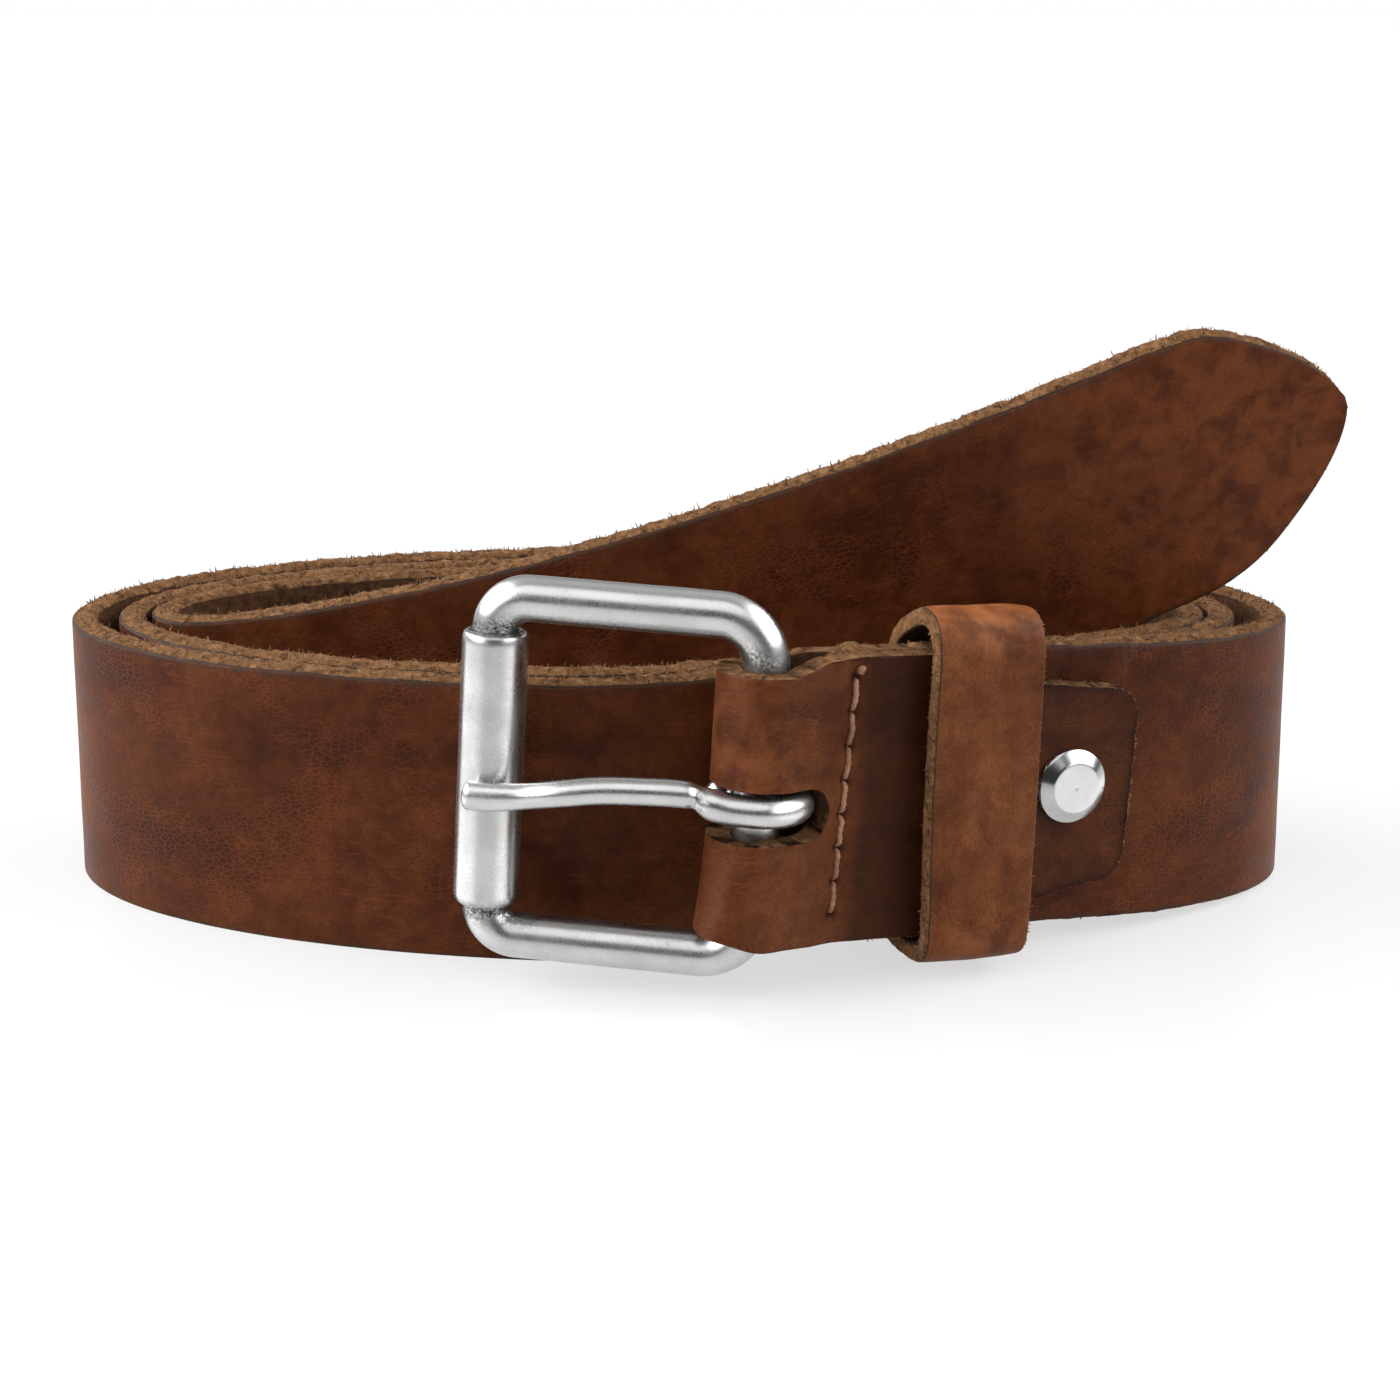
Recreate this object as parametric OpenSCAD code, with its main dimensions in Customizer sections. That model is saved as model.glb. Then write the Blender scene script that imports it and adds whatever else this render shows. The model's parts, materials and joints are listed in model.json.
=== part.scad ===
// Leather belt, coiled and standing on its edge, with a roller buckle
// on a screwed chape. Millimetres, +Z up, origin at the middle of the
// whole belt's footprint box, on the surface that it stands on.

/* [Strap] */
// Width of the strap
strap_w = 40; // [38:0.5:41]
// Thickness of the strap leather
strap_t = 3.8; // [3:0.1:3.9]
// Diameter of the punched holes
hole_d = 4.6; // [4:0.1:6]
// Number of punched holes
hole_n = 5; // [3:1:6]
// Spacing of the punched holes
hole_pitch = 25; // [20:1:25]
// Distance from the tip to the first hole
first_hole = 116; // [105:1:120]
// Length of the pointed part of the tip, on its upper side
tip_point = 17.6; // [15:0.1:22]
// Length of the pointed part of the tip, on its lower side
tip_point_low = 21.5; // [15:0.1:22]

/* [Coil] */
// Length of the coil, measured on the strap's centre line
coil_l = 180.6; // [178:0.1:190]
// Depth of the coil, measured on the strap's centre line
coil_d = 76; // [74:0.1:80]
// Inward lean of the strap at the front of the coil, in degrees
coil_lean = 3; // [2:0.5:4]
// How much less it leans at the back of the coil, in degrees
back_ease = 2.2; // [0:0.1:3]
// Run of the tip after the last bend
tip_run = 169.2; // [160:0.1:170]
// Slope of the strap where the tip ends, in degrees
tip_slope = 24.3; // [20:0.1:28]
// Outward lean of the strap at its tip, in degrees
tip_lean = 11; // [5:1:15]

/* [Buckle end] */
// Direction of the buckle end, seen from above, in degrees
end_heading = 21.5; // [20:0.5:24]
// Downward slope of the buckle end, in degrees
end_slope = 4.8; // [3:0.1:5]
// Straight length from the buckle's bar to the coil
end_l = 55.5; // [54:0.5:60]
// Thickness of the chape leather
chape_t = 3.4; // [3:0.1:3.5]
// Length of the chape's front leg, from the bar's axis
tongue_l = 55.3; // [54:0.1:58]
// Length of the chape's back leg, from the bar's axis
back_leg_l = 21.5; // [18:0.5:22]
// Distance from the bar's axis to the line of stitches
stitch_s = 11; // [10.5:0.5:13]
// Number of stitches
stitch_n = 7; // [6:1:8]

/* [Keeper] */
// Length of the keeper along the strap
keeper_l = 16; // [12:0.1:16.5]
// Thickness of the keeper leather
keeper_t = 2.5; // [2:0.1:2.6]
// Distance from the bar's axis to the keeper
keeper_s = 22; // [21:0.5:23]

/* [Buckle] */
// Diameter of the buckle's round bar
bar_d = 6.2; // [5.8:0.1:6.2]
// Distance between the two upright bars
frame_l = 36; // [34:0.1:38]
// Distance between the two long bars
frame_h = 46.6; // [46.4:0.1:49]
// Swing of the buckle from the line of the chape, in degrees
buckle_swing = 29; // [26:0.5:32]
// Outer diameter of the roller
roller_d = 8.8; // [8.6:0.1:9.4]
// Thickness of the prong's wire
prong_d = 3.8; // [3.4:0.1:4]

/* [Screw] */
// Diameter of the screw's front head
head_d = 10.6; // [9:0.1:11]
// Diameter of the flat on the front head
head_flat_d = 7; // [6:0.1:8]
// Distance from the bar's axis to the screw
screw_s = 45.6; // [45:0.1:47]

/* [Hidden] */
$fn = 64;

// Small gaps
slip = 0.05; // between leather layers of the buckle end
running = 0.08; // between a bar and what turns on it
layer_gap = 0.8; // between two touching turns of the coil

// Colours
leather = [0.42, 0.20, 0.10];
leather_dark = [0.30, 0.14, 0.08];
thread = [0.66, 0.42, 0.26];
nickel = [0.72, 0.71, 0.69];
steel = [0.80, 0.80, 0.81];

// ---- Coil: an oval whose half axes shrink as the strap winds inwards ----
oval_a = coil_l / 2;
oval_b = coil_d / 2;
turn = 360;
lay = strap_t + layer_gap;

// Where the straight buckle end meets the oval, as an angle on the oval
join_u = -atan(oval_b / (oval_a * tan(end_heading)));
last_u = 2.5 * turn - 4;
u_step = 6;

// Inward shift of the strap, as [angle on the oval, shift]
shift_knots = [
    [join_u, 0],
    [258, 0],
    [292, 9.2],
    [turn, 7.6],
    [turn + 100, 6.6],
    [turn + 180, 7],
    [turn + 235, lay],
    [turn + 258, lay],
    [turn + 292, 9.2 + lay],
    [2 * turn, 7.6 + lay],
    [2 * turn + 100, 6.6 + lay],
    [last_u, 7 + lay],
];

function ease(q) = q * q * (3 - 2 * q);
function knot_row(u, i = 0) =
    i >= len(shift_knots) - 2 || u < shift_knots[i + 1][0] ? i : knot_row(u, i + 1);
function shift(u) =
    let (i = knot_row(u), a = shift_knots[i], b = shift_knots[i + 1])
    a[1] + (b[1] - a[1]) * ease(min(1, max(0, (u - a[0]) / (b[0] - a[0]))));

// Plan point and heading on the oval, from the coil's middle
function oval_point(u) = [
    (oval_a - shift(u)) * cos(u),
    (oval_b - shift(u)) * sin(u)
];
function oval_heading(u) =
    let (step = oval_point(u + 0.5) - oval_point(u - 0.5))
    atan2(step[1], step[0]);

// ---- Frames along the strap: [point, heading, slope, lean, tilt of its cut edges] ----
// The coil's edges are level, so that it stands flat.
function lean_at(u) = coil_lean - back_ease * (1 + sin(u)) / 2;
function rest_z(lean) = strap_w / 2 * cos(lean);
end_lean = lean_at(join_u);
join_point = [
    oval_a * cos(join_u),
    oval_b * sin(join_u)
];
end_drop = end_l * tan(end_slope);
end_rise = 3; // height of the coil's first stretch over the surface
end_landing = 58; // angle on the oval over which that stretch comes down

oval_step = norm(oval_point(join_u + 0.5) - oval_point(join_u - 0.5));
landing_drop = oval_step * end_landing * tan(end_slope);
function landing(q) = (1 - q) * (1 - q) * (end_rise * (1 + 2 * q) - landing_drop * q);
function lift(u) = landing(min(1, max(0, (u - join_u) / end_landing)));

// Tip run: a short bend, then a gently rising stretch
bend_r = 6.6;
bend_n = 8;
bend_start = oval_point(last_u);
bend_heading = oval_heading(last_u) + turn;
run_first = -7.7; // heading where the run starts
bend_turn = run_first + turn - bend_heading;
bend_lean = lean_at(last_u);
bend_centre = bend_start + bend_r * [-sin(bend_heading), cos(bend_heading)];
function bend_point(a) =
    bend_centre + bend_r * [sin(bend_heading + a), -cos(bend_heading + a)];
run_start = bend_point(bend_turn);
run_n = 22;
run_curve = 16.5; // change of heading along the run
function run_plan(q) =
    let (a = run_first + run_curve * q / 2)
    run_start + tip_run * q * [cos(a), sin(a)];
function slope_at(q) = tip_slope * pow(q, 0.4);
rise_n = 40;
function run_rise(q) =
    q <= 0 ? 0 : tip_run * q / rise_n
    * sum([for (i = [0:rise_n - 1]) tan(slope_at(q * (i + 0.5) / rise_n))]);
function sum(v, i = 0) = i >= len(v) ? 0 : v[i] + sum(v, i + 1);
function run_frame(q) = [
    [run_plan(q)[0], run_plan(q)[1], rest_z(bend_lean) + run_rise(q)],
    run_first + run_curve * q,
    slope_at(q),
    bend_lean - (bend_lean + tip_lean) * q,
    -tip_lean * q
];

end_cut = 0.5; // gap between the back leg and the strap's end
end_start = back_leg_l + end_cut;
end_point = [
    join_point[0] - end_l * cos(end_heading),
    join_point[1] - end_l * sin(end_heading),
    rest_z(end_lean) + end_rise + end_drop
];
function end_frame(s) = [
    end_point + s * [cos(end_heading), sin(end_heading), -tan(end_slope)],
    end_heading,
    -end_slope,
    end_lean,
    end_lean
];

function coil_frame(u) =
    let (p = oval_point(u), step = norm(oval_point(u + 0.5) - oval_point(u - 0.5)))
    [
        [p[0], p[1], rest_z(lean_at(u)) + lift(u)],
        oval_heading(u),
        atan((lift(u + 0.5) - lift(u - 0.5)) / step),
        lean_at(u),
        0
    ];
function bend_frame(a) =
    let (p = bend_point(a))
    [[p[0], p[1], rest_z(bend_lean)], bend_heading + a, 0, bend_lean, 0];

// Frame at a distance from the tip, through the run, the bend and the coil
bend_l = bend_r * bend_turn * PI / 180;
u_fine = 1;
function u_before(u, left) =
    let (step = norm(oval_point(u) - oval_point(u - u_fine)))
    step >= left ? u - u_fine * left / step : u_before(u - u_fine, left - step);
function frame_from_tip(d) =
    d <= tip_run ? run_frame(1 - d / tip_run)
    : d <= tip_run + bend_l ? bend_frame(bend_turn * (1 - (d - tip_run) / bend_l))
    : coil_frame(u_before(last_u, d - tip_run - bend_l));

// Half width of the strap at a distance from its tip, where the point is l long
tip_round = 14; // how sharply the point's corners turn
function half_w(d, l) =
    let (g = pow(max(d, 0.4) / l, 0.59))
    strap_w / 2 * g / pow(1 + pow(g, tip_round), 1 / tip_round);
tip_l = 28; // length over which the tip is drawn in fine steps
tip_steps = [0.013, 0.04, 0.08, 0.15, 0.24, 0.34, 0.44, 0.52, 0.6, 0.68, 0.76, 0.86, 1];
run_qs = concat(
    [for (i = [0:run_n - 1]) (tip_run - tip_l) / tip_run * i / run_n],
    [for (i = [len(tip_steps) - 1:-1:0]) 1 - tip_steps[i] * tip_l / tip_run]
);

// One ring of four corners round the strap
function along(f) = [cos(f[2]) * cos(f[1]), cos(f[2]) * sin(f[1]), sin(f[2])];
function side0(f) = [-sin(f[1]), cos(f[1]), 0];
function up0(f) = [-sin(f[2]) * cos(f[1]), -sin(f[2]) * sin(f[1]), cos(f[2])];
function up(f) = up0(f) * cos(f[3]) + side0(f) * sin(f[3]);
function inward(f) = side0(f) * cos(f[4]) - up0(f) * sin(f[4]);
function ring(f, high, low) = [
    f[0] - low * up(f) - strap_t / 2 * inward(f),
    f[0] - low * up(f) + strap_t / 2 * inward(f),
    f[0] + high * up(f) + strap_t / 2 * inward(f),
    f[0] + high * up(f) - strap_t / 2 * inward(f)
];

// ---- Placing: the oval's middle and the object's middle ----
object_middle = [1.79, -8.84];
module place()
{
    translate([-object_middle[0], -object_middle[1], 0])
        children();
}

// Frame of the buckle end: X along the strap, Y inwards, Z across it,
// with its origin on the axis of the buckle's bar
bar_offset = strap_t / 2 + slip;
module buckle_end()
{
    place()
        translate(end_point)
            rotate([-end_lean, end_slope, end_heading])
                translate([0, -bar_offset, 0])
                    children();
}

// Frame of the buckle: X from the hinge bar to the roller
frame_mid = 1.1; // middle of its two long bars, across the strap
module buckle_at()
{
    buckle_end()
        rotate([0, 0, 180 - buckle_swing])
            translate([0, 0, frame_mid])
                children();
}

// ---- Strap ----
module strap_body()
{
    frames = concat(
        [end_frame(end_start), end_frame(end_start + 12), end_frame(end_start + 24)],
        [for (u = [join_u:u_step:last_u - u_step / 3]) coil_frame(u)],
        [for (i = [0:bend_n - 1]) bend_frame(bend_turn * i / bend_n)],
        [for (q = run_qs) run_frame(q)]
    );
    tip_rings = len(run_qs);
    n = len(frames);
    rings = [
        for (i = [0:n - 1])
        let (d = i < n - tip_rings ? tip_run : tip_run * (1 - run_qs[i - n + tip_rings]))
        ring(frames[i], half_w(d, tip_point), half_w(d, tip_point_low))
    ];
    points = [for (r = rings) for (p = r) p];
    walls = [
        for (i = [0:n - 2])
        for (k = [0:3])
        let (a = 4 * i + k, b = 4 * i + (k + 1) % 4)
        each [[a, a + 4, b], [b, a + 4, b + 4]]
    ];
    last = 4 * (n - 1);
    caps = [[0, 1, 2], [0, 2, 3], [last + 2, last + 1, last], [last + 3, last + 2, last]];
    polyhedron(points, concat(walls, caps), convexity = 20);
}

module punched_holes()
{
    for (i = [0:hole_n - 1])
    {
        f = frame_from_tip(first_hole + i * hole_pitch);
        t = along(f);
        w = up(f);
        v = inward(f);
        multmatrix([
            [t[0], w[0], v[0], f[0][0]],
            [t[1], w[1], v[1], f[0][1]],
            [t[2], w[2], v[2], f[0][2]]
        ])
            cylinder(h = strap_t + 1, d = hole_d, center = true);
    }
}

post_d = 5;
screw_w = 0.7; // the screw's place across the strap
module screw_hole()
{
    translate([screw_s, 0, screw_w])
        rotate([90, 0, 0])
            cylinder(h = 2 * (chape_t + strap_t), d = post_d + 2 * running, center = true);
}

module strap()
{
    color(leather)
        difference()
        {
            place()
                difference()
                {
                    strap_body();
                    punched_holes();
                }
            buckle_end()
                screw_hole();
        }
}

// ---- Chape: folded round the bar, with a long tapered front leg ----
bar_r = bar_d / 2;
fold_in = bar_r + 0.1;
fold_out = fold_in + chape_t;
fold_top = 17.8;
fold_bottom = -18.6;
slot_w = 7.2;
slot_mid = -1;
slot_end = 8.6;
flare_s = 8;
taper_s = 25;
shoulder_s = 37;
shoulder_w = 15.4;
tongue_w = 13.8;
tongue_mid = 0.4;
tongue_r = 4;

// Point where a line from [x, y] touches a circle of radius r at the origin
function touch(x, y, r) =
    let (a = atan2(y, x) + acos(r / norm([x, y])))
    [r * cos(a), r * sin(a)];

// Side view of leather folded round the bar: an arc of radius r, then two legs
fold_n = 40;
function fold_outline(r, y, front_l, back_l) =
    let (p = touch(stitch_s, y, r), first = atan2(p[1], p[0]))
    concat(
        [for (i = [0:fold_n])
            let (a = first + (360 - 2 * first) * i / fold_n)
            r * [cos(a), sin(a)]],
        [[stitch_s, -y], [front_l, -y], [front_l, 0], [back_l, 0], [back_l, y], [stitch_s, y]]
    );

module chape_side()
{
    difference()
    {
        polygon(fold_outline(fold_out, chape_t + slip, tongue_l, back_leg_l));
        polygon(fold_outline(fold_in - slip, slip, tongue_l + 1, tongue_l + 1));
    }
}

// Half of the tongue's outline, from the shoulder round its corner to the end
corner_n = 6;
corner_first = 5; // the tongue's taper, in degrees
function tongue_half(side) = concat(
    [[taper_s, side * (strap_w / 2 - 0.1)], [shoulder_s, side * shoulder_w]],
    [for (i = [0:corner_n])
        let (a = corner_first + (90 - corner_first) * i / corner_n)
        [tongue_l - tongue_r + tongue_r * sin(a),
            tongue_mid + side * (tongue_w - tongue_r + tongue_r * cos(a))]]
);
function backwards(v) = [for (i = [len(v) - 1:-1:0]) v[i]];

module chape_outline()
{
    half = strap_w / 2 - 0.1;
    polygon(concat(
        [[-fold_out - 1, fold_top], [1, fold_top], [flare_s, half]],
        tongue_half(1),
        backwards(tongue_half(-1)),
        [[flare_s, -half], [1, fold_bottom], [-fold_out - 1, fold_bottom]]
    ));
}

// Room for the buckle's lower corner, where the fold has worn wider
fold_worn = 2.5;
module fold_flare()
{
    flare_from = frame_mid - frame_h / 2 + hinge_corner_r;
    translate([0, 0, fold_bottom - 1])
        cylinder(h = flare_from - fold_bottom + 1, r1 = fold_in + fold_worn, r2 = bar_r);
}

stitch_span = 32.6;
stitch_low = -15.7;
stitch_pitch = stitch_span / stitch_n;
stitch_hole_d = 1.1;
thread_d = 0.9;
module at_stitch_holes()
{
    for (i = [0:stitch_n])
        translate([stitch_s, 0, stitch_low + i * stitch_pitch])
            rotate([90, 0, 0])
                children();
}

module chape()
{
    color(leather)
        buckle_end()
            difference()
            {
                intersection()
                {
                    linear_extrude(height = strap_w + 4, center = true)
                        chape_side();
                    rotate([90, 0, 0])
                        linear_extrude(height = 30, center = true)
                            chape_outline();
                }
                translate([-fold_out - 1, -15, slot_mid - slot_w / 2])
                    cube([fold_out + 1 + slot_end - slot_w / 2, 30, slot_w]);
                translate([slot_end - slot_w / 2, 0, slot_mid])
                    rotate([90, 0, 0])
                        cylinder(h = 30, d = slot_w, center = true);
                at_stitch_holes()
                    cylinder(h = 30, d = stitch_hole_d, center = true);
                cylinder(h = strap_w + 6, r = fold_in, center = true);
                fold_flare();
                screw_hole();
            }
}

// ---- Lock stitches: one thread on each face, meeting inside the leather ----
module stitches()
{
    face = chape_t + slip;
    at_stitch_holes()
        translate([0, 0, slip])
            cylinder(h = face + thread_d / 2, d = thread_d, $fn = 24);
    for (i = [0:stitch_n - 1])
        translate([stitch_s, -face - thread_d / 2 - slip, stitch_low + i * stitch_pitch])
            cylinder(h = stitch_pitch, d = thread_d, $fn = 24);
}

module front_thread()
{
    color(thread)
        buckle_end()
            stitches();
}

module back_thread()
{
    color(thread)
        buckle_end()
            mirror([0, 1, 0])
                stitches();
}

// ---- Keeper: a loose leather loop, its ends butted and stapled behind ----
keeper_front = -7.7;
keeper_back = 8.8;
keeper_top = 25.9;
keeper_bottom = -22.9;
keeper_r = 5;
staple_d = 0.9;
staple_w = 8;
staple_mid = -2;

module round_rect(x0, y0, x1, y1, r)
{
    translate([x0 + r, y0])
        square([x1 - x0 - 2 * r, y1 - y0]);
    translate([x0, y0 + r])
        square([x1 - x0, y1 - y0 - 2 * r]);
    for (x = [x0 + r, x1 - r])
        for (y = [y0 + r, y1 - r])
            translate([x, y])
                circle(r = r);
}

module keeper_section()
{
    t = keeper_t;
    difference()
    {
        round_rect(keeper_front, keeper_bottom, keeper_back, keeper_top, keeper_r);
        round_rect(keeper_front + t, keeper_bottom + t, keeper_back - t, keeper_top - t,
            keeper_r - t);
        translate([keeper_back - t - 1, staple_mid - 0.15])
            square([t + 2, 0.3]);
    }
}

// Turns a shape drawn across the strap, in Y and Z, to run along it
module across()
{
    rotate([90, 0, 90])
        children();
}

staple_places = [0.3, 0.7];
module keeper_loop()
{
    color(leather)
        buckle_end()
            difference()
            {
                translate([keeper_s, 0, 0])
                    across()
                        linear_extrude(height = keeper_l)
                            keeper_section();
                for (q = staple_places)
                    for (side = [-1, 1])
                        translate([keeper_s + q * keeper_l, keeper_back + 1,
                            staple_mid + side * staple_w / 2])
                            rotate([90, 0, 0])
                                cylinder(h = keeper_t + 2, d = staple_d + 0.1, $fn = 24);
            }
}

module staple()
{
    crown_y = keeper_back + slip + staple_d / 2;
    clinch_y = keeper_back - keeper_t - slip - staple_d / 2;
    for (side = [-1, 1])
    {
        translate([0, crown_y, side * staple_w / 2])
            sphere(d = staple_d, $fn = 24);
        translate([0, crown_y, side * staple_w / 2])
            rotate([90, 0, 0])
                cylinder(h = crown_y - clinch_y, d = staple_d, $fn = 24);
        translate([0, clinch_y, side * staple_w / 2])
            sphere(d = staple_d, $fn = 24);
        translate([0, clinch_y, side > 0 ? 1 : -staple_w / 2])
            cylinder(h = staple_w / 2 - 1, d = staple_d, $fn = 24);
    }
    translate([0, crown_y, -staple_w / 2])
        cylinder(h = staple_w, d = staple_d, $fn = 24);
}

module keeper_staples()
{
    color(steel)
        buckle_end()
            for (q = staple_places)
                translate([keeper_s + q * keeper_l, 0, staple_mid])
                    staple();
}

// ---- Buckle frame: one round bar bent into a closed rounded rectangle ----
hinge_corner_r = 6.6; // at the bar that the chape holds
roller_corner_r = 4.4; // at the bar that the roller turns on

// One quarter bend, in the corner given by the signs of X and Z
module bend(x, sx, sz, r)
{
    translate([x - sx * r, 0, sz * (frame_h / 2 - r)])
        mirror([sx < 0 ? 1 : 0, 0, 0])
            mirror([0, 0, sz < 0 ? 1 : 0])
                rotate([90, 0, 0])
                    rotate_extrude(angle = 90)
                        translate([r, 0])
                            circle(r = bar_r);
}

module buckle_frame()
{
    color(nickel)
        buckle_at()
        {
            cylinder(h = frame_h - 2 * hinge_corner_r, r = bar_r, center = true);
            translate([frame_l, 0, 0])
                cylinder(h = frame_h - 2 * roller_corner_r, r = bar_r, center = true);
            for (sz = [-1, 1])
            {
                translate([hinge_corner_r, 0, sz * frame_h / 2])
                    rotate([0, 90, 0])
                        cylinder(h = frame_l - hinge_corner_r - roller_corner_r, r = bar_r);
                bend(0, -1, sz, hinge_corner_r);
                bend(frame_l, 1, sz, roller_corner_r);
            }
        }
}

// ---- Roller: a tube that turns on the outer bar ----
roller_l = 37.6;
roller_rim = 0.7;
module roller()
{
    bore_r = bar_r + running;
    out_r = roller_d / 2;
    half = roller_l / 2;
    rim = roller_rim;
    arc = [for (i = [0:4]) 90 * i / 4];
    color(nickel)
        buckle_at()
            translate([frame_l, 0, 0])
                rotate_extrude()
                    polygon(concat(
                        [[bore_r, -half]],
                        [for (a = arc) [out_r - rim + rim * sin(a), -half + rim - rim * cos(a)]],
                        [for (a = arc) [out_r - rim + rim * cos(a), half - rim + rim * sin(a)]],
                        [[bore_r, half]]
                    ));
}

// ---- Prong: a wire looped round the hinge bar, its end on the roller ----
prong_r = prong_d / 2;
loop_r = bar_r + 0.15 + prong_r;
prong_mid = -0.2; // middle of its loop, across the strap
loop_a = 270;
on_roller = roller_d / 2 + prong_r + 0.15;
// Centre line of the shank in the buckle's frame, and the wire's radius there
prong_line = [
    [-0.6, loop_r - 0.035, 0],
    [0.8, loop_r, 0.05],
    [3, loop_r + 0.2, 0.15],
    [5.6, loop_r + 0.5, 0.7],
    [8, loop_r + 0.75, 1.5],
    [10.5, loop_r + 0.95, 1.7],
    [15, loop_r + 1.2, 1.6],
    [20, loop_r + 1.5, 1.3],
    [25, loop_r + 1.7, 0.5],
    [30, on_roller, -0.5],
    [34, on_roller, -1],
    [37.6, on_roller - 0.15, -1.1],
    [39.2, on_roller - 0.35, -1.1]
];
prong_taper = [0.96, 1, 1, 1, 1, 1, 1, 1, 1, 1, 0.98, 0.85, 0.5];
prong_sides = 16;

function prong_ring(i) =
    let (
        n = len(prong_line),
        step = prong_line[min(n - 1, i + 1)] - prong_line[max(0, i - 1)],
        d = i == 0 ? [1, 0, 0] : step / norm(step),
        side = cross([0, 0, 1], d) / norm(cross([0, 0, 1], d)),
        over = cross(d, side)
    )
    [for (k = [0:prong_sides - 1])
        let (a = 360 * k / prong_sides)
        prong_line[i] + prong_r * prong_taper[i] * (cos(a) * side + sin(a) * over)];

module prong_shank()
{
    n = len(prong_line);
    m = prong_sides;
    points = [for (i = [0:n - 1]) each prong_ring(i)];
    walls = [
        for (i = [0:n - 2])
        for (k = [0:m - 1])
        let (a = m * i + k, b = m * i + (k + 1) % m)
        each [[a, a + m, b], [b, a + m, b + m]]
    ];
    first = [for (k = [0:m - 1]) k];
    last = [for (k = [m - 1:-1:0]) m * (n - 1) + k];
    polyhedron(points, concat(walls, [first, last]), convexity = 8);
}

module prong()
{
    color(nickel)
        buckle_at()
            translate([0, 0, prong_mid - frame_mid])
            {
                prong_shank();
                rotate([0, 0, 90])
                    rotate_extrude(angle = loop_a)
                        translate([loop_r, 0])
                            circle(r = prong_r, $fn = 32);
            }
}

// ---- Screw post and screw, through the chape and the strap ----
head_h = 1.6;
rim_h = 0.4;
stack = chape_t + strap_t + 2 * slip;
screw_d = 3;
back_head_d = 8.6;
back_head_h = 1.1;
screw_l = 6.5;
screw_slot = 1;
screw_slot_h = 0.6;
module screw_axis()
{
    buckle_end()
        translate([screw_s, 0, screw_w])
            rotate([90, 0, 0])
                children();
}

module screw_post()
{
    front = chape_t + slip;
    barrel_l = stack - 0.3;
    color(steel)
        screw_axis()
            difference()
            {
                union()
                {
                    translate([0, 0, front + slip])
                        cylinder(h = rim_h, d = head_d);
                    translate([0, 0, front + slip + rim_h])
                        cylinder(h = head_h - rim_h, d1 = head_d, d2 = head_flat_d);
                    translate([0, 0, front - barrel_l])
                        cylinder(h = barrel_l + slip + rim_h, d = post_d);
                }
                translate([0, 0, front - barrel_l - 1])
                    cylinder(h = barrel_l, d = screw_d + 2 * running, $fn = 32);
            }
}

module screw()
{
    back = strap_t + 2 * slip;
    color(steel)
        screw_axis()
            difference()
            {
                union()
                {
                    translate([0, 0, -back - back_head_h])
                        cylinder(h = back_head_h, d = back_head_d);
                    translate([0, 0, -back - back_head_h])
                        cylinder(h = screw_l, d = screw_d, $fn = 32);
                }
                translate([-back_head_d, -screw_slot / 2, -back - back_head_h - 1])
                    cube([2 * back_head_d, screw_slot, 1 + screw_slot_h]);
            }
}

strap();
chape();
front_thread();
back_thread();
keeper_loop();
keeper_staples();
buckle_frame();
roller();
prong();
screw_post();
screw();
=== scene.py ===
"""A coiled leather belt with a roller buckle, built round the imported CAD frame.

Lengths inside the script are millimetres, and make_mesh() turns them into metres. In the materials,
the attribute place is in millimetres and the object's own place in metres.
"""

import json
import random
from math import acos, atan, atan2, copysign, cos, degrees, hypot, pi, radians, sin, sqrt, tan

import bmesh
import bpy
import numpy as np
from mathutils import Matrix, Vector, noise


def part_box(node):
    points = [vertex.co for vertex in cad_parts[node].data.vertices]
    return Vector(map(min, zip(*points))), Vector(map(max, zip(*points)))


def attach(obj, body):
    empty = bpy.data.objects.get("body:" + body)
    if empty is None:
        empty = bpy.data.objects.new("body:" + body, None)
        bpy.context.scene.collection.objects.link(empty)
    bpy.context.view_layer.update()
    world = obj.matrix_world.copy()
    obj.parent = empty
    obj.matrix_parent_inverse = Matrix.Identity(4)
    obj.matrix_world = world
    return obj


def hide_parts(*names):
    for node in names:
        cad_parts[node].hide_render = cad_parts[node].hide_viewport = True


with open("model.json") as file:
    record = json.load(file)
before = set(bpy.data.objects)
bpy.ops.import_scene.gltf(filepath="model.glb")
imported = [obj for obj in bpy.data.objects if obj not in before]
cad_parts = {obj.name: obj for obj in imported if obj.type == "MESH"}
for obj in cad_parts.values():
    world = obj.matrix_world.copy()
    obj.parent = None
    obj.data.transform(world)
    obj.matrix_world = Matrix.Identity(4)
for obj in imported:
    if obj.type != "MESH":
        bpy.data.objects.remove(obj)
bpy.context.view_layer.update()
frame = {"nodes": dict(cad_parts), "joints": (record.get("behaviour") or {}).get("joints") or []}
MM = 0.001  # metres

# -------- frames from the record
joints = {joint["name"]: joint for joint in frame["joints"]}


def unit(v):
    return np.asarray(v, float) / np.linalg.norm(v)


hinge = np.array(joints["buckle_swing"]["pos_m"]) / MM
across = unit(joints["buckle_swing"]["axis"])
along = unit(joints["keeper_slide"]["axis"])
inward = np.cross(across, along)
to_roller = np.array(joints["roller_spin"]["pos_m"]) / MM - hinge
frame_mid = float(to_roller @ across)
frame_l = float(np.linalg.norm(to_roller - frame_mid * across))
buckle_x = (to_roller - frame_mid * across) / frame_l
buckle_y = np.cross(across, buckle_x)


def from_end(p):
    """Buckle-end place: along the strap from the bar, inwards, across the strap."""
    p = np.asarray(p, float)
    return hinge + p[..., :1] * along + p[..., 1:2] * inward + p[..., 2:3] * across


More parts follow.
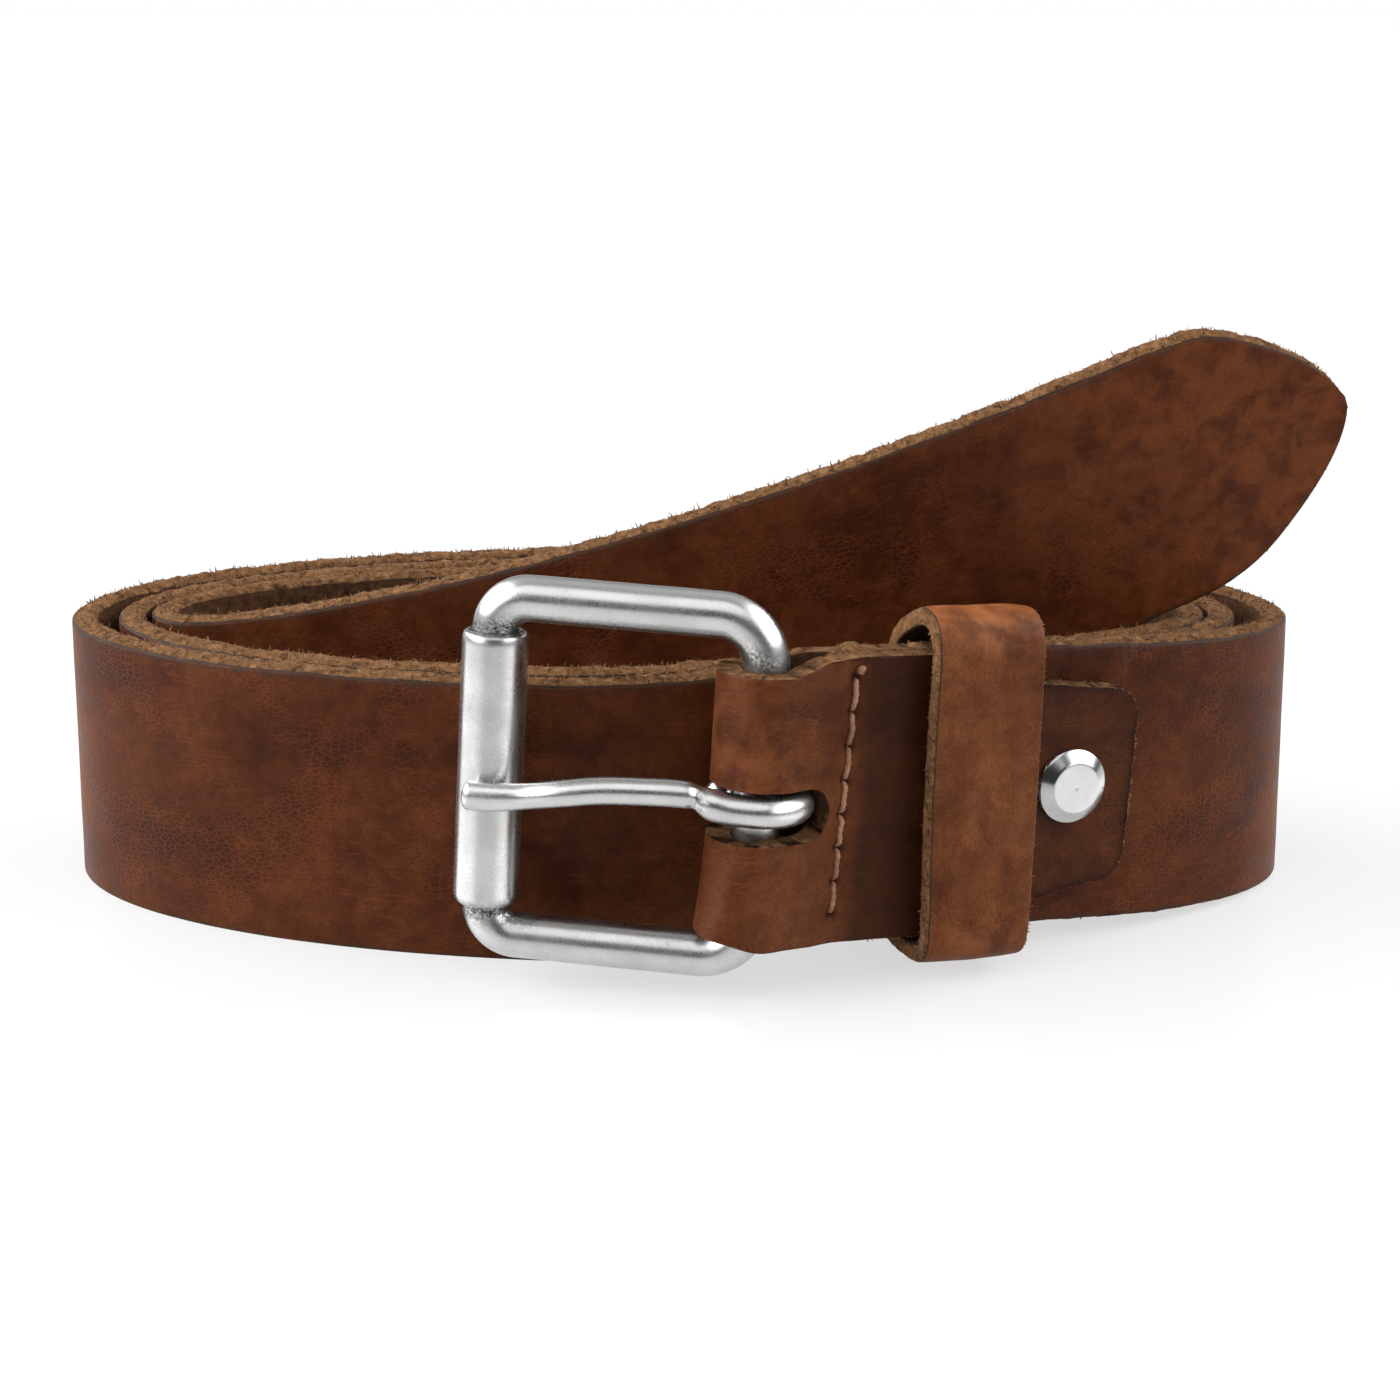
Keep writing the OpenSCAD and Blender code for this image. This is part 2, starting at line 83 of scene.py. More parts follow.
def from_buckle(p):
    """Buckle place: from the hinge bar to the roller, to the front, across."""
    p = np.asarray(p, float)
    z = p[..., 2:3] + frame_mid
    return hinge + p[..., :1] * buckle_x + p[..., 1:2] * buckle_y + z * across


def end_places(points):
    """The buckle-end places of points in mm: the other way round from from_end()."""
    off = points - hinge
    return np.stack([off @ along, off @ inward, off @ across], 1)


# -------- mesh helpers
def make_mesh(name, points, faces, values=None):
    """A smooth mesh object from points in mm, with values = {attribute: one per point}."""
    mesh = bpy.data.meshes.new(name)
    mesh.from_pydata((np.asarray(points, float) * MM).tolist(), [], faces)
    mesh.update()
    mesh.polygons.foreach_set("use_smooth", [True] * len(mesh.polygons))
    set_values(mesh, values or {})
    return add_object(name, mesh)


def add_object(name, data):
    piece = bpy.data.objects.new(name, data)
    bpy.context.scene.collection.objects.link(piece)
    return piece


def set_values(mesh, values):
    """Stores a number, or a vector, for each point under each key, for the materials to read."""
    for key, data in values.items():
        data = np.asarray(data, np.float32)
        kind, field = ("FLOAT", "value") if data.ndim == 1 else ("FLOAT_VECTOR", "vector")
        mesh.attributes.new(key, kind, "POINT").data.foreach_set(field, data.ravel())


def wobble(points, size, seed):
    """Smooth noise from about -1 to 1 at each point, with features of that size in mm."""
    shift = Vector((17.3 * seed, 5.1 * seed, 9.7 * seed))
    return np.array([noise.noise(Vector(p) / size + shift) for p in np.asarray(points)])


def share(q):
    """q kept from 0 to 1."""
    return np.clip(q, 0, 1)


def smooth_step(q):
    q = share(q)
    return q * q * (3 - 2 * q)


def bell(x, width):
    """1 where x is 0, falling off smoothly on both sides."""
    return np.exp(-(x / width) ** 2)


def through(knots, x):
    """Eased value at x of a list of [x, value] knots."""
    for (x0, v0), (x1, v1) in zip(knots, knots[1:]):
        if x < x1 or (x1, v1) == tuple(knots[-1]):
            return v0 + (v1 - v0) * float(smooth_step((x - x0) / (x1 - x0)))


def spline(points, closed, per_span):
    """Catmull-Rom curve through the points."""
    p = np.asarray(points, float)
    n = len(p)
    spans = n if closed else n - 1
    out = []
    for i in range(spans):
        q = [p[(i + k) % n] if closed else p[min(n - 1, max(0, i + k))] for k in (-1, 0, 1, 2)]
        for t in np.arange(per_span) / per_span:
            square = 2 * q[0] - 5 * q[1] + 4 * q[2] - q[3]
            cube = 3 * q[1] - q[0] - 3 * q[2] + q[3]
            out.append(0.5 * (2 * q[1] + (q[2] - q[0]) * t + square * t * t + cube * t ** 3))
    if not closed:
        out.append(p[-1])
    return np.array(out)


def grid_faces(rows, columns, closed=False):
    """Faces between rings of points. closed joins the last ring to the first."""
    faces = []
    for i in range(rows if closed else rows - 1):
        a, b = i * columns, (i + 1) % rows * columns
        for k in range(columns):
            m = (k + 1) % columns
            faces.append((a + k, a + m, b + m, b + k))
    return faces


def tube(path, radius, sides, closed=False, up=(0, 0, 1), shape=None):
    """Points and faces of a tube. radius is one value or one per point; shape(i, angle) scales it."""
    path = np.asarray(path, float)
    n = len(path)
    radius = np.broadcast_to(radius, n)
    points = []
    for i in range(n):
        step = path[(i + 1) % n] - path[i - 1] if closed else path[min(n - 1, i + 1)] - path[max(0, i - 1)]
        side = unit(np.cross(up, unit(step)))
        over = np.cross(unit(step), side)
        for k in range(sides):
            a = 2 * pi * k / sides
            r = radius[i] * (shape(i, a) if shape else 1)
            points.append(path[i] + r * (cos(a) * side + sin(a) * over))
    faces = grid_faces(n, sides, closed)
    if not closed:
        faces.append(tuple(range(sides - 1, -1, -1)))
        faces.append(tuple(range((n - 1) * sides, n * sides)))
    return np.array(points), faces


def lathe(profile, place, sides):
    """Points and faces of a shape turned about an axis. profile is [(radius, height)], closed."""
    points = []
    for k in range(sides):
        a = 2 * pi * k / sides
        points += [place((r * cos(a), r * sin(a), z)) for r, z in profile]
    return np.array(points), grid_faces(sides, len(profile), True)


def rounded(profile, r, steps):
    """The closed profile with its corners rounded, and held straight beside them."""
    out = []
    n = len(profile)
    for i in range(n):
        a, b, c = (np.array(profile[k % n], float) for k in (i - 1, i, i + 1))
        cut = min(r, 0.45 * np.linalg.norm(a - b), 0.45 * np.linalg.norm(c - b))
        p, q = b + unit(a - b) * cut, b + unit(c - b) * cut
        out.append(hold(p, a, b, cut))
        for t in np.linspace(0, 1, steps):
            out.append(tuple((1 - t) ** 2 * p + 2 * t * (1 - t) * b + t * t * q))
        out.append(hold(q, c, b, cut))
    return out


def hold(p, far, corner, cut):
    """A point a little past p on the way from the corner, where there is room for one."""
    return tuple(p + 0.12 * (far - corner) * (cut < 0.4 * np.linalg.norm(far - corner)))


def thicken(piece, thickness, edge):
    """Gives a sheet its thickness inwards and rounds its rim. Returns rim and back shares per point."""
    marks = [bpy.data.materials.new("part") for _ in range(3)]
    for mark in marks:
        piece.data.materials.append(mark)
    solid = piece.modifiers.new("solid", "SOLIDIFY")
    solid.thickness = thickness * MM
    solid.offset = -1
    solid.use_even_offset = True
    solid.material_offset_rim = 1
    solid.material_offset = 2
    bevel = piece.modifiers.new("bevel", "BEVEL")
    bevel.width = edge * MM
    bevel.segments = 3
    bevel.limit_method = "ANGLE"
    bevel.angle_limit = radians(50)
    evaluated = piece.evaluated_get(bpy.context.evaluated_depsgraph_get())
    done = bpy.data.meshes.new_from_object(evaluated)
    piece.modifiers.clear()
    piece.data = done
    count = np.zeros(len(done.vertices))
    rim = np.zeros(len(done.vertices))
    back = np.zeros(len(done.vertices))
    for face in done.polygons:
        for v in face.vertices:
            count[v] += 1
            rim[v] += face.material_index == 1
            back[v] += face.material_index == 2
        face.material_index = 0
    done.materials.clear()
    for mark in marks:
        bpy.data.materials.remove(mark)
    done.polygons.foreach_set("use_smooth", [True] * len(done.polygons))
    return rim / count, back / count


def vertex_values(piece, kind):
    values = np.zeros(len(piece.data.vertices) * 3, np.float32)
    piece.data.vertices.foreach_get(kind, values)
    return values.reshape(-1, 3).astype(float)


def points_of(piece):
    return vertex_values(piece, "co") / MM


def normals_of(piece):
    return vertex_values(piece, "normal")


def push_out(piece, distance):
    """Moves each point that far along its normal."""
    points = points_of(piece) + normals_of(piece) * distance[:, None]
    piece.data.vertices.foreach_set("co", (points * MM).ravel())
    piece.data.update()


def clean(piece):
    """Removes the points that no face uses, and turns the faces outwards."""
    bm = bmesh.new()
    bm.from_mesh(piece.data)
    bmesh.ops.delete(bm, geom=[v for v in bm.verts if not v.link_faces], context="VERTS")
    bmesh.ops.recalc_face_normals(bm, faces=bm.faces)
    bm.to_mesh(piece.data)
    bm.free()


def thick_sheet(name, points, faces, probe, thickness, edge):
    """Thickens an outer face, whose point at probe is in front. Returns it, rim, back and its places."""
    piece = make_mesh(name, from_end(points), faces)
    if normals_of(piece)[probe] @ inward > 0:
        piece.data.flip_normals()
    rim, back = thicken(piece, thickness, edge)
    return piece, rim, back, end_places(points_of(piece))


FIBRE_LEAN = 0.45
FIBRE_BEND = 0.6
FIBRE_R = (0.05, 0.13)
THIRD_TURN = 2.0944


def fibres(name, roots, normals, lengths, rng):
    """Short loose leather fibres: thin bent spikes, closed at the root."""
    points, faces = [], []
    for root, normal, length in zip(roots, normals, lengths):
        lean = np.array([rng.gauss(0, FIBRE_LEAN) for _ in range(3)])
        first = unit(normal + lean)
        second = unit(first + np.array([rng.gauss(0, FIBRE_BEND) for _ in range(3)]))
        side = unit(np.cross(first, (0.31, 0.52, 0.79)))
        over = np.cross(first, side)
        r = rng.uniform(*FIBRE_R)
        b = len(points)
        for level, width in ((-0.25, 1.0), (0.55, 0.7)):
            centre = root + first * length * level
            for k in range(3):
                a = THIRD_TURN * k + length
                points.append(centre + r * width * (cos(a) * side + sin(a) * over))
        points.append(root + first * length * 0.55 + second * length * 0.5)
        faces += [(b + 2, b + 1, b)]
        faces += [(b + k, b + (k + 1) % 3, b + 3 + (k + 1) % 3, b + 3 + k) for k in range(3)]
        faces += [(b + 3 + k, b + 3 + (k + 1) % 3, b + 6) for k in range(3)]
    return make_mesh(name, points, faces)


# -------- materials
class Nodes:
    """Short calls for building the nodes of a new material or world."""

    def __init__(self, owner):
        owner.use_nodes = True
        self.owner = owner
        self.tree = owner.node_tree

    def put(self, socket, value):
        if isinstance(value, bpy.types.NodeSocket):
            self.tree.links.new(value, socket)
        else:
            socket.default_value = value

    def node(self, kind, **inputs):
        """A new node with some inputs set or linked. Their names have _ for a space."""
        node = self.tree.nodes.new("ShaderNode" + kind)
        for key, value in inputs.items():
            self.put(node.inputs[key.replace("_", " ")], value)
        return node

    def attribute(self, name, output="Fac"):
        node = self.node("Attribute")
        node.attribute_name = name
        return node.outputs[output]

    def object_place(self):
        return self.node("TexCoord").outputs["Object"]

    def scaled(self, vector, scale):
        return self.node("Mapping", Vector=vector, Scale=scale).outputs["Vector"]

    def noise(self, vector, size, detail=3.0, rough=0.55, twist=0.0, output="Fac"):
        """Noise from 0 to 1, with features of about size, in the vector's own unit."""
        node = self.node("TexNoise", Vector=vector, Scale=1 / size, Detail=detail, Roughness=rough,
                         Distortion=twist)
        return node.outputs[output]

    def cells(self, vector, size, feature="F1"):
        node = self.node("TexVoronoi", Vector=vector, Scale=1 / size)
        node.feature = feature
        return node.outputs["Distance"]

    def joined(self, node, a, b):
        for socket, value in zip(node.inputs, (a, b)):
            self.put(socket, value)
        return node.outputs[0]

    def math(self, kind, a, b):
        node = self.node("Math")
        node.operation = kind
        return self.joined(node, a, b)

    def plus(self, a, b):
        return self.math("ADD", a, b)

    def times(self, a, b):
        return self.math("MULTIPLY", a, b)

    def ramp(self, value, low, high, out_low=0.0, out_high=1.0):
        node = self.node("MapRange", Value=value, From_Min=low, From_Max=high, To_Min=out_low,
                         To_Max=out_high)
        node.interpolation_type = "SMOOTHSTEP"
        return node.outputs["Result"]

    def mix(self, amount, a, b):
        """A blend of two colours or values, with that amount of the second."""
        node = self.node("Mix", Factor=amount)
        node.data_type = "RGBA"
        for socket, value in ((node.inputs[6], a), (node.inputs[7], b)):
            self.put(socket, (*value, 1) if isinstance(value, tuple) else value)
        return node.outputs[2]

    def bump(self, height, distance, strength):
        return self.node("Bump", Height=height, Distance=distance * MM, Strength=strength).outputs["Normal"]

    def finish(self, **sockets):
        """Sets or links the shader's inputs, and returns the material."""
        shader = self.tree.nodes["Principled BSDF"]
        for key, value in sockets.items():
            self.put(shader.inputs[key.replace("_", " ")], value)
        return self.owner


SHEEN = 0.08
CUT_LOW, CUT_MIDDLE, CUT_HIGH = (0.028, 0.013, 0.006), (0.115, 0.055, 0.023), (0.21, 0.112, 0.052)
# darkest cut edge: the keeper's burnished far rim, and painted shade on the rim inside the chape's slot
CUT_BURNISH_AND_SHADE = (0.016, 0.008, 0.005)
BURNISHED = (0.030, 0.019, 0.014)
FLESH_LOW, FLESH_HIGH = (0.030, 0.0125, 0.006), (0.072, 0.033, 0.015)
FIBRE_LOW, FIBRE_HIGH = (0.070, 0.034, 0.015), (0.23, 0.125, 0.058)


def scaled_colour(colour, factor):
    return tuple(factor * c for c in colour)


def leather(name, dark, middle, light, scuff=0.5, seed=0.0):
    """Waxy full-grain leather. Attributes: place (along, across, side), cut, flesh, shade, worn."""
    n = Nodes(bpy.data.materials.new(name))
    place = n.attribute("place", "Vector")
    spot = n.object_place()
    patches = n.noise(n.scaled(place, (1, 1.6, 1)), 26 + seed, 3, 0.55, 0.3)
    mottle = n.noise(spot, 0.0042, 4, 0.6, 0.4)
    flecks = n.noise(spot, 0.0017, 3, 0.6)
    fine = n.noise(n.scaled(place, (0.8, 1, 1)), 0.36, 3, 0.7)
    tone = n.plus(n.times(patches, 0.62), n.times(mottle, 0.38))
    colour = n.mix(n.ramp(tone, 0.38, 0.52), dark, middle)
    colour = n.mix(n.ramp(tone, 0.48, 0.64), colour, light)
    colour = n.mix(n.ramp(flecks, 0.40, 0.56, 0.30, 0.0), colour, dark)
    colour = n.mix(n.ramp(fine, 0.36, 0.62, 0.38, 0.0), colour, scaled_colour(dark, 0.6))
    # pull-up lines: thin red-brown creases, a fine net and long ones, each in its own patches
    wavy = n.joined(n.node("VectorMath"), place, n.noise(place, 6.25, 2, 0.5, output="Color"))
    net = n.cells(n.scaled(wavy, (0.75, 1.25, 1)), 0.85, "DISTANCE_TO_EDGE")
    net_zone = n.ramp(n.noise(place, 15.0, 2, 0.5), 0.46, 0.62)
    net = n.times(n.ramp(net, 0.015, 0.09, 0.6, 0.0), net_zone)
    streaks = n.noise(n.scaled(wavy, (0.13, 0.9, 1)), 0.40, 2, 0.5, 0.8)
    streak_zone = n.ramp(n.noise(n.scaled(place, (1, 1.4, 1)), 19.0, 2, 0.5), 0.43, 0.60)
    streaks = n.times(n.ramp(streaks, 0.57, 0.68, 0.0, 0.42), streak_zone)
    lines = n.math("MAXIMUM", net, streaks)
    warm = (1.9 * light[0], 1.6 * light[1], 1.2 * light[2])
    colour = n.mix(n.times(lines, scuff), colour, warm)
    # lighter where bent or scuffed, with a painted highlight on the keeper's crest and a painted sheen on
    # the chape's fold; darker where burnished and in random patches, and painted shade in the needle holes,
    # the slot and the keeper's shadow
    colour = n.mix(n.ramp(n.attribute("dark_tone_and_shade"), 0.0, 1.0), colour, scaled_colour(dark, 0.30))
    lightened = n.mix(n.ramp(mottle, 0.35, 0.6), middle, scaled_colour(light, 1.6))
    colour = n.mix(n.ramp(n.attribute("worn"), 0.0, 1.0, 0.0, 0.9), colour, lightened)
    # flesh side and cut edges
    nap = n.noise(spot, 0.0011, 5, 0.75)
    flesh = n.ramp(n.attribute("flesh"), 0.3, 0.7)
    colour = n.mix(flesh, colour, n.mix(n.ramp(nap, 0.35, 0.68), FLESH_LOW, FLESH_HIGH))
    cut = n.attribute("cut")
    tufts = n.noise(spot, 0.0012, 6, 0.8, 0.5)
    cut_colour = n.mix(n.ramp(tufts, 0.36, 0.50), CUT_LOW, CUT_MIDDLE)
    cut_colour = n.mix(n.ramp(tufts, 0.50, 0.66), cut_colour, CUT_HIGH)
    rim = n.plus(cut, n.times(n.math("SUBTRACT", nap, 0.5), 0.5))
    colour = n.mix(n.ramp(rim, 0.12, 0.3), colour, BURNISHED)
    # cut edges darker where burnished, and painted shade on the rim inside the chape's slot
    cut_colour = n.mix(n.attribute("dark_tone_and_shade"), cut_colour, CUT_BURNISH_AND_SHADE)
    colour = n.mix(n.ramp(rim, 0.45, 0.7), colour, cut_colour)
    raw = n.math("MAXIMUM", n.ramp(cut, 0.3, 0.7), flesh)
    gloss = n.plus(n.ramp(mottle, 0.3, 0.7, 0.38, 0.50), n.times(fine, 0.12))
    rough = n.math("MAXIMUM", gloss, n.times(raw, 0.93))
    pores = n.cells(n.scaled(place, (0.8, 1, 1)), 0.55, "F1")
    skin = n.plus(n.times(pores, 0.6), n.times(fine, 0.7))
    skin = n.math("SUBTRACT", skin, n.times(lines, 0.8))
    hairy = n.times(n.plus(tufts, nap), 3.2)
    height = n.mix(raw, skin, hairy)
    return n.finish(Base_Color=colour, Roughness=rough, Specular_IOR_Level=SHEEN,
                    Normal=n.bump(height, 0.10, 0.8))


def fibre_material():
    n = Nodes(bpy.data.materials.new("leather_fibre"))
    spot = n.object_place()
    tone = n.noise(spot, 0.0018, 4, 0.7)
    colour = n.mix(n.ramp(tone, 0.34, 0.62), FIBRE_LOW, FIBRE_HIGH)
    return n.finish(Base_Color=colour, Roughness=0.95, Specular_IOR_Level=0.1,
                    Normal=n.bump(n.noise(spot, 0.0003, 2), 0.05, 0.6))


THREAD_LOW, THREAD_HIGH = (0.20, 0.095, 0.052), (0.29, 0.15, 0.085)
THREAD_DIRT = (0.08, 0.035, 0.02)
PIT_COLOUR = (0.14, 0.135, 0.13)
OXIDE_COLOUR = (0.035, 0.03, 0.028)


def metal(name, bright, grey, rough_low, rough_high, pit_depth):
    """Satin metal with fine pits. Attribute oxide is where it has gone dark."""
    n = Nodes(bpy.data.materials.new(name))
    spot = n.object_place()
    cloud = n.noise(spot, 0.006, 4, 0.6)
    fine = n.noise(spot, 0.00045, 4, 0.75)
    pits = n.noise(spot, 0.0011, 2, 0.5)
    pit = n.ramp(pits, 0.70, 0.78)
    oxide = n.times(n.attribute("oxide"), n.ramp(fine, 0.3, 0.62))
    colour = n.mix(n.ramp(cloud, 0.35, 0.65), bright, grey)
    colour = n.mix(n.ramp(fine, 0.42, 0.70, 0.0, 0.10), colour, scaled_colour(grey, 0.55))
    colour = n.mix(n.times(pit, 0.24), colour, PIT_COLOUR)
    colour = n.mix(oxide, colour, OXIDE_COLOUR)
    both = n.plus(n.times(cloud, 0.5), n.times(fine, 0.5))
    rough = n.ramp(both, 0.35, 0.65, rough_low, rough_high)
    rough = n.math("MAXIMUM", rough, n.times(oxide, 0.7))
    height = n.math("SUBTRACT", n.times(fine, 0.35), pit)
    return n.finish(Base_Color=colour, Metallic=1.0, Roughness=rough,
                    Normal=n.bump(height, pit_depth, 0.6))


def thread_material():
    n = Nodes(bpy.data.materials.new("waxed_thread"))
    spot = n.object_place()
    lint = n.noise(spot, 0.00025, 3, 0.7)
    tone = n.noise(spot, 0.003, 2)
    colour = n.mix(n.ramp(tone, 0.35, 0.65), THREAD_LOW, THREAD_HIGH)
    colour = n.mix(n.ramp(lint, 0.3, 0.6, 0.5, 0.0), colour, THREAD_DIRT)
    return n.finish(Base_Color=colour, Roughness=0.7, Specular_IOR_Level=0.3,
                    Normal=n.bump(lint, 0.04, 0.7))


# dark, middle and light colours
strap_leather = leather("strap_leather", (0.033, 0.0074, 0.0019), (0.064, 0.0162, 0.0040),
                        (0.094, 0.0265, 0.0072))
chape_leather = leather("chape_leather", (0.041, 0.0102, 0.0030), (0.078, 0.0225, 0.0066),
                        (0.112, 0.0360, 0.0115), scuff=0.35, seed=5)
keeper_leather = leather("keeper_leather", (0.054, 0.0145, 0.0045), (0.098, 0.0300, 0.0090),
                         (0.145, 0.050, 0.0165), scuff=0.45, seed=9)
nickel = metal("antique_nickel", bright=(0.58, 0.58, 0.575), grey=(0.51, 0.51, 0.505),
               rough_low=0.24, rough_high=0.33, pit_depth=0.006)
steel = metal("polished_steel", bright=(0.48, 0.48, 0.48), grey=(0.45, 0.45, 0.45),
              rough_low=0.13, rough_high=0.17, pit_depth=0.001)
thread = thread_material()
loose_fibre = fibre_material()


def dress(piece, body, slot, material, *nodes):
    """Gives a piece its material, its body and the CAD nodes it stands for. slot is not used."""
    piece.data.materials.clear()
    piece.data.materials.append(material)
    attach(piece, body)
    if nodes:
        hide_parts(*nodes)


# -------- the strap's line
STRAP_W = 40.0
STRAP_T = 3.8
OVAL_A = 90.3
OVAL_B = 38.0
LEAN = 3.0
BACK_EASE = 2.2
TIP_LEAN = 11.0
END_HEADING = 21.5
END_SLOPE = 4.8
END_L = 55.5
END_START = 22.0
END_RISE = 3.0
LANDING = 58.0
LAY = STRAP_T + 0.8
BEND_R = 6.6
TIP_RUN = 169.2
TIP_SLOPE = 24.3
TIP_POINT = 17.6
TIP_POINT_LOW = 21.5
RUN_FIRST = -7.7
RUN_CURVE = 16.5
SLOPE_POWER = 0.4
STEP = 0.8
FINE_L = 30.0  # the strap's last stretch, which is drawn in finer and finer steps
FINE_STEPS = 50
# u goes round the oval in degrees, from where the buckle end leaves it, to the inside of the coil
join_u = -degrees(atan(OVAL_B / (OVAL_A * tan(radians(END_HEADING)))))
LAST_U = 896.0
# (u, how far inside the oval the strap is)
INSETS = [
    (join_u, 0), (258, 0), (292, 9.2), (360, 7.6), (460, 6.6), (540, 7),
    (595, LAY), (618, LAY), (652, 9.2 + LAY), (720, 7.6 + LAY), (820, 6.6 + LAY), (LAST_U, 7 + LAY),
]


def lean_at(u):
    return LEAN - BACK_EASE * (1 + sin(radians(u))) / 2


def rest_z(lean):
    return STRAP_W / 2 * cos(radians(lean))


def oval(u):
    inset = through(INSETS, u)
    a = radians(u)
    return np.array([(OVAL_A - inset) * cos(a), (OVAL_B - inset) * sin(a)])


def oval_step(u):
    return oval(u + 0.5) - oval(u - 0.5)


def heading_of(step):
    return degrees(atan2(step[1], step[0]))


join_a = radians(join_u)
join_step = np.linalg.norm([OVAL_A * sin(join_a), OVAL_B * cos(join_a)])
landing_drop = radians(LANDING) * join_step * tan(radians(END_SLOPE))


def lift(u):
    q = min(1, max(0, (u - join_u) / LANDING))
    return (1 - q) ** 2 * (END_RISE * (1 + 2 * q) - landing_drop * q)


# A frame is [place, heading, slope, lean, tilt of the cut edges], with the angles in degrees
def end_frames():
    frames = []
    head = radians(END_HEADING)
    join = (OVAL_A * cos(join_a), OVAL_B * sin(join_a))
    drop = tan(radians(END_SLOPE))
    end_lean = lean_at(join_u)
    for s in np.arange(END_START, END_L - STEP / 2, STEP):
        back = END_L - s
        p = (join[0] - back * cos(head), join[1] - back * sin(head),
             rest_z(end_lean) + END_RISE + back * drop)
        frames.append([p, END_HEADING, -END_SLOPE, end_lean, end_lean])
    return frames


def coil_frames():
    frames = []
    u = join_u
    while u < LAST_U:
        step = oval_step(u)
        speed = np.linalg.norm(step)
        p = oval(u)
        slope = degrees(atan((lift(u + 0.5) - lift(u - 0.5)) / speed))
        z = rest_z(lean_at(u)) + lift(u)
        frames.append([(p[0], p[1], z), heading_of(step), slope, lean_at(u), 0.0])
        u += STEP / speed
    return frames


def tip_frames():
    """The short bend at the end of the coil, and the rising run to the tip."""
    frames = []
    start = oval(LAST_U)
    bend_lean = lean_at(LAST_U)
    bend_z = rest_z(bend_lean)
    first = heading_of(oval_step(LAST_U)) % 360
    turn = RUN_FIRST + 360 - first
    a0 = radians(first)
    centre = start + BEND_R * np.array([-sin(a0), cos(a0)])
    count = int(BEND_R * radians(turn) / STEP)
    for i in range(count):
        a = radians(first + turn * i / count)
        p = centre + BEND_R * np.array([sin(a), -cos(a)])
        frames.append([(p[0], p[1], bend_z), degrees(a), 0.0, bend_lean, 0.0])
    a = radians(first + turn)
    start = centre + BEND_R * np.array([sin(a), -cos(a)])
    rise, q0 = 0.0, 0.0
    closing = np.array([0.98 ** k * (1 - k / FINE_STEPS) for k in range(FINE_STEPS)] + [0.004])
    tip_qs = 1 - FINE_L / TIP_RUN * closing
    qs = list(np.arange(0, tip_qs[0] - STEP / TIP_RUN / 2, STEP / TIP_RUN)) + list(tip_qs)
    for q in qs:
        middle = (q0 + q) / 2
        rise += (q - q0) * TIP_RUN * tan(radians(TIP_SLOPE * middle ** SLOPE_POWER))
        q0 = q
        a = radians(RUN_FIRST + RUN_CURVE * q / 2)
        p = start + TIP_RUN * q * np.array([cos(a), sin(a)])
        lean = bend_lean - (bend_lean + TIP_LEAN) * q
        frames.append([(p[0], p[1], bend_z + rise), RUN_FIRST + RUN_CURVE * q, TIP_SLOPE * q ** SLOPE_POWER,
                       lean, -TIP_LEAN * q])
    return frames


def axes_of(f):
    """Directions across the strap and through its thickness at a frame."""
    heading, slope, lean, tilt = (radians(a) for a in f[1:])
    side = np.array([-sin(heading), cos(heading), 0])
    level = np.array([cos(heading), sin(heading), 0])
    up0 = -sin(slope) * level + np.array([0, 0, cos(slope)])
    up = up0 * cos(lean) + side * sin(lean)
    return up, side * cos(tilt) - up0 * sin(tilt)


# -------- the strap
FACE_COLUMNS = 33
FACE_INSET = 0.55
HOLE_R = 2.3
HOLE_STRETCH = 1.22
HOLES_FROM_TIP = [116, 141, 166, 191, 216]
# (inset from the edge, depth from the grain face, cut, flesh) round one edge, grain side first
EDGE = [(0.16, 0.03, 0.18, 0), (0.02, 0.22, 0.45, 0), (-0.04, 0.6, 0.9, 0), (-0.10, 1.2, 1, 0),
        (-0.12, 1.9, 1, 0), (-0.10, 2.6, 1, 0.1), (-0.02, 3.3, 1, 0.4), (0.18, 3.74, 0.8, 1)]
STRAP_COLUMNS = 2 * FACE_COLUMNS + 2 * len(EDGE)
FRONT_MIDDLE = FACE_COLUMNS // 2
BACK_MIDDLE = FACE_COLUMNS + len(EDGE) + FRONT_MIDDLE
TOP_SWELL = 0.55
TIP_POWER = 0.59
TIP_CORNER = 14
# the waxed leather goes lighter where it is bent: turn in degrees a mm, and the most that it shows
GENTLE_BEND = 0.7
TIGHT_BEND = 3.0
BEND_WEAR = 0.34
TIP_WEAR = 0.55


def strap_profile(hw):
    """(across, depth, cut, flesh) round the strap where it is 2 hw wide."""
    k = min(1, hw / 4)
    half = hw - FACE_INSET * k
    swell = [TOP_SWELL * sin(pi * (b / STRAP_T) ** 1.3) for _, b, _, _ in EDGE]
    ring = [(x, 0, 0.2 * (abs(x) > half - 0.1), 0) for x in np.linspace(-half, half, FACE_COLUMNS)]
    ring += [(hw + (out - a) * k, b, c, f) for out, (a, b, c, f) in zip(swell, EDGE)]
    ring += [(x, STRAP_T, 0, 1) for x in np.linspace(half, -half, FACE_COLUMNS)]
    ring += [(-hw + a * k, b, c, f) for a, b, c, f in reversed(EDGE)]
    return np.array(ring)


def tip_width(d, length):
    """Half width of the strap at distance d from its tip, with the corner a little rounded."""
    g = (max(d, 0.15) / length) ** TIP_POWER
    return STRAP_W / 2 * g / (1 + g ** TIP_CORNER) ** (1 / TIP_CORNER)


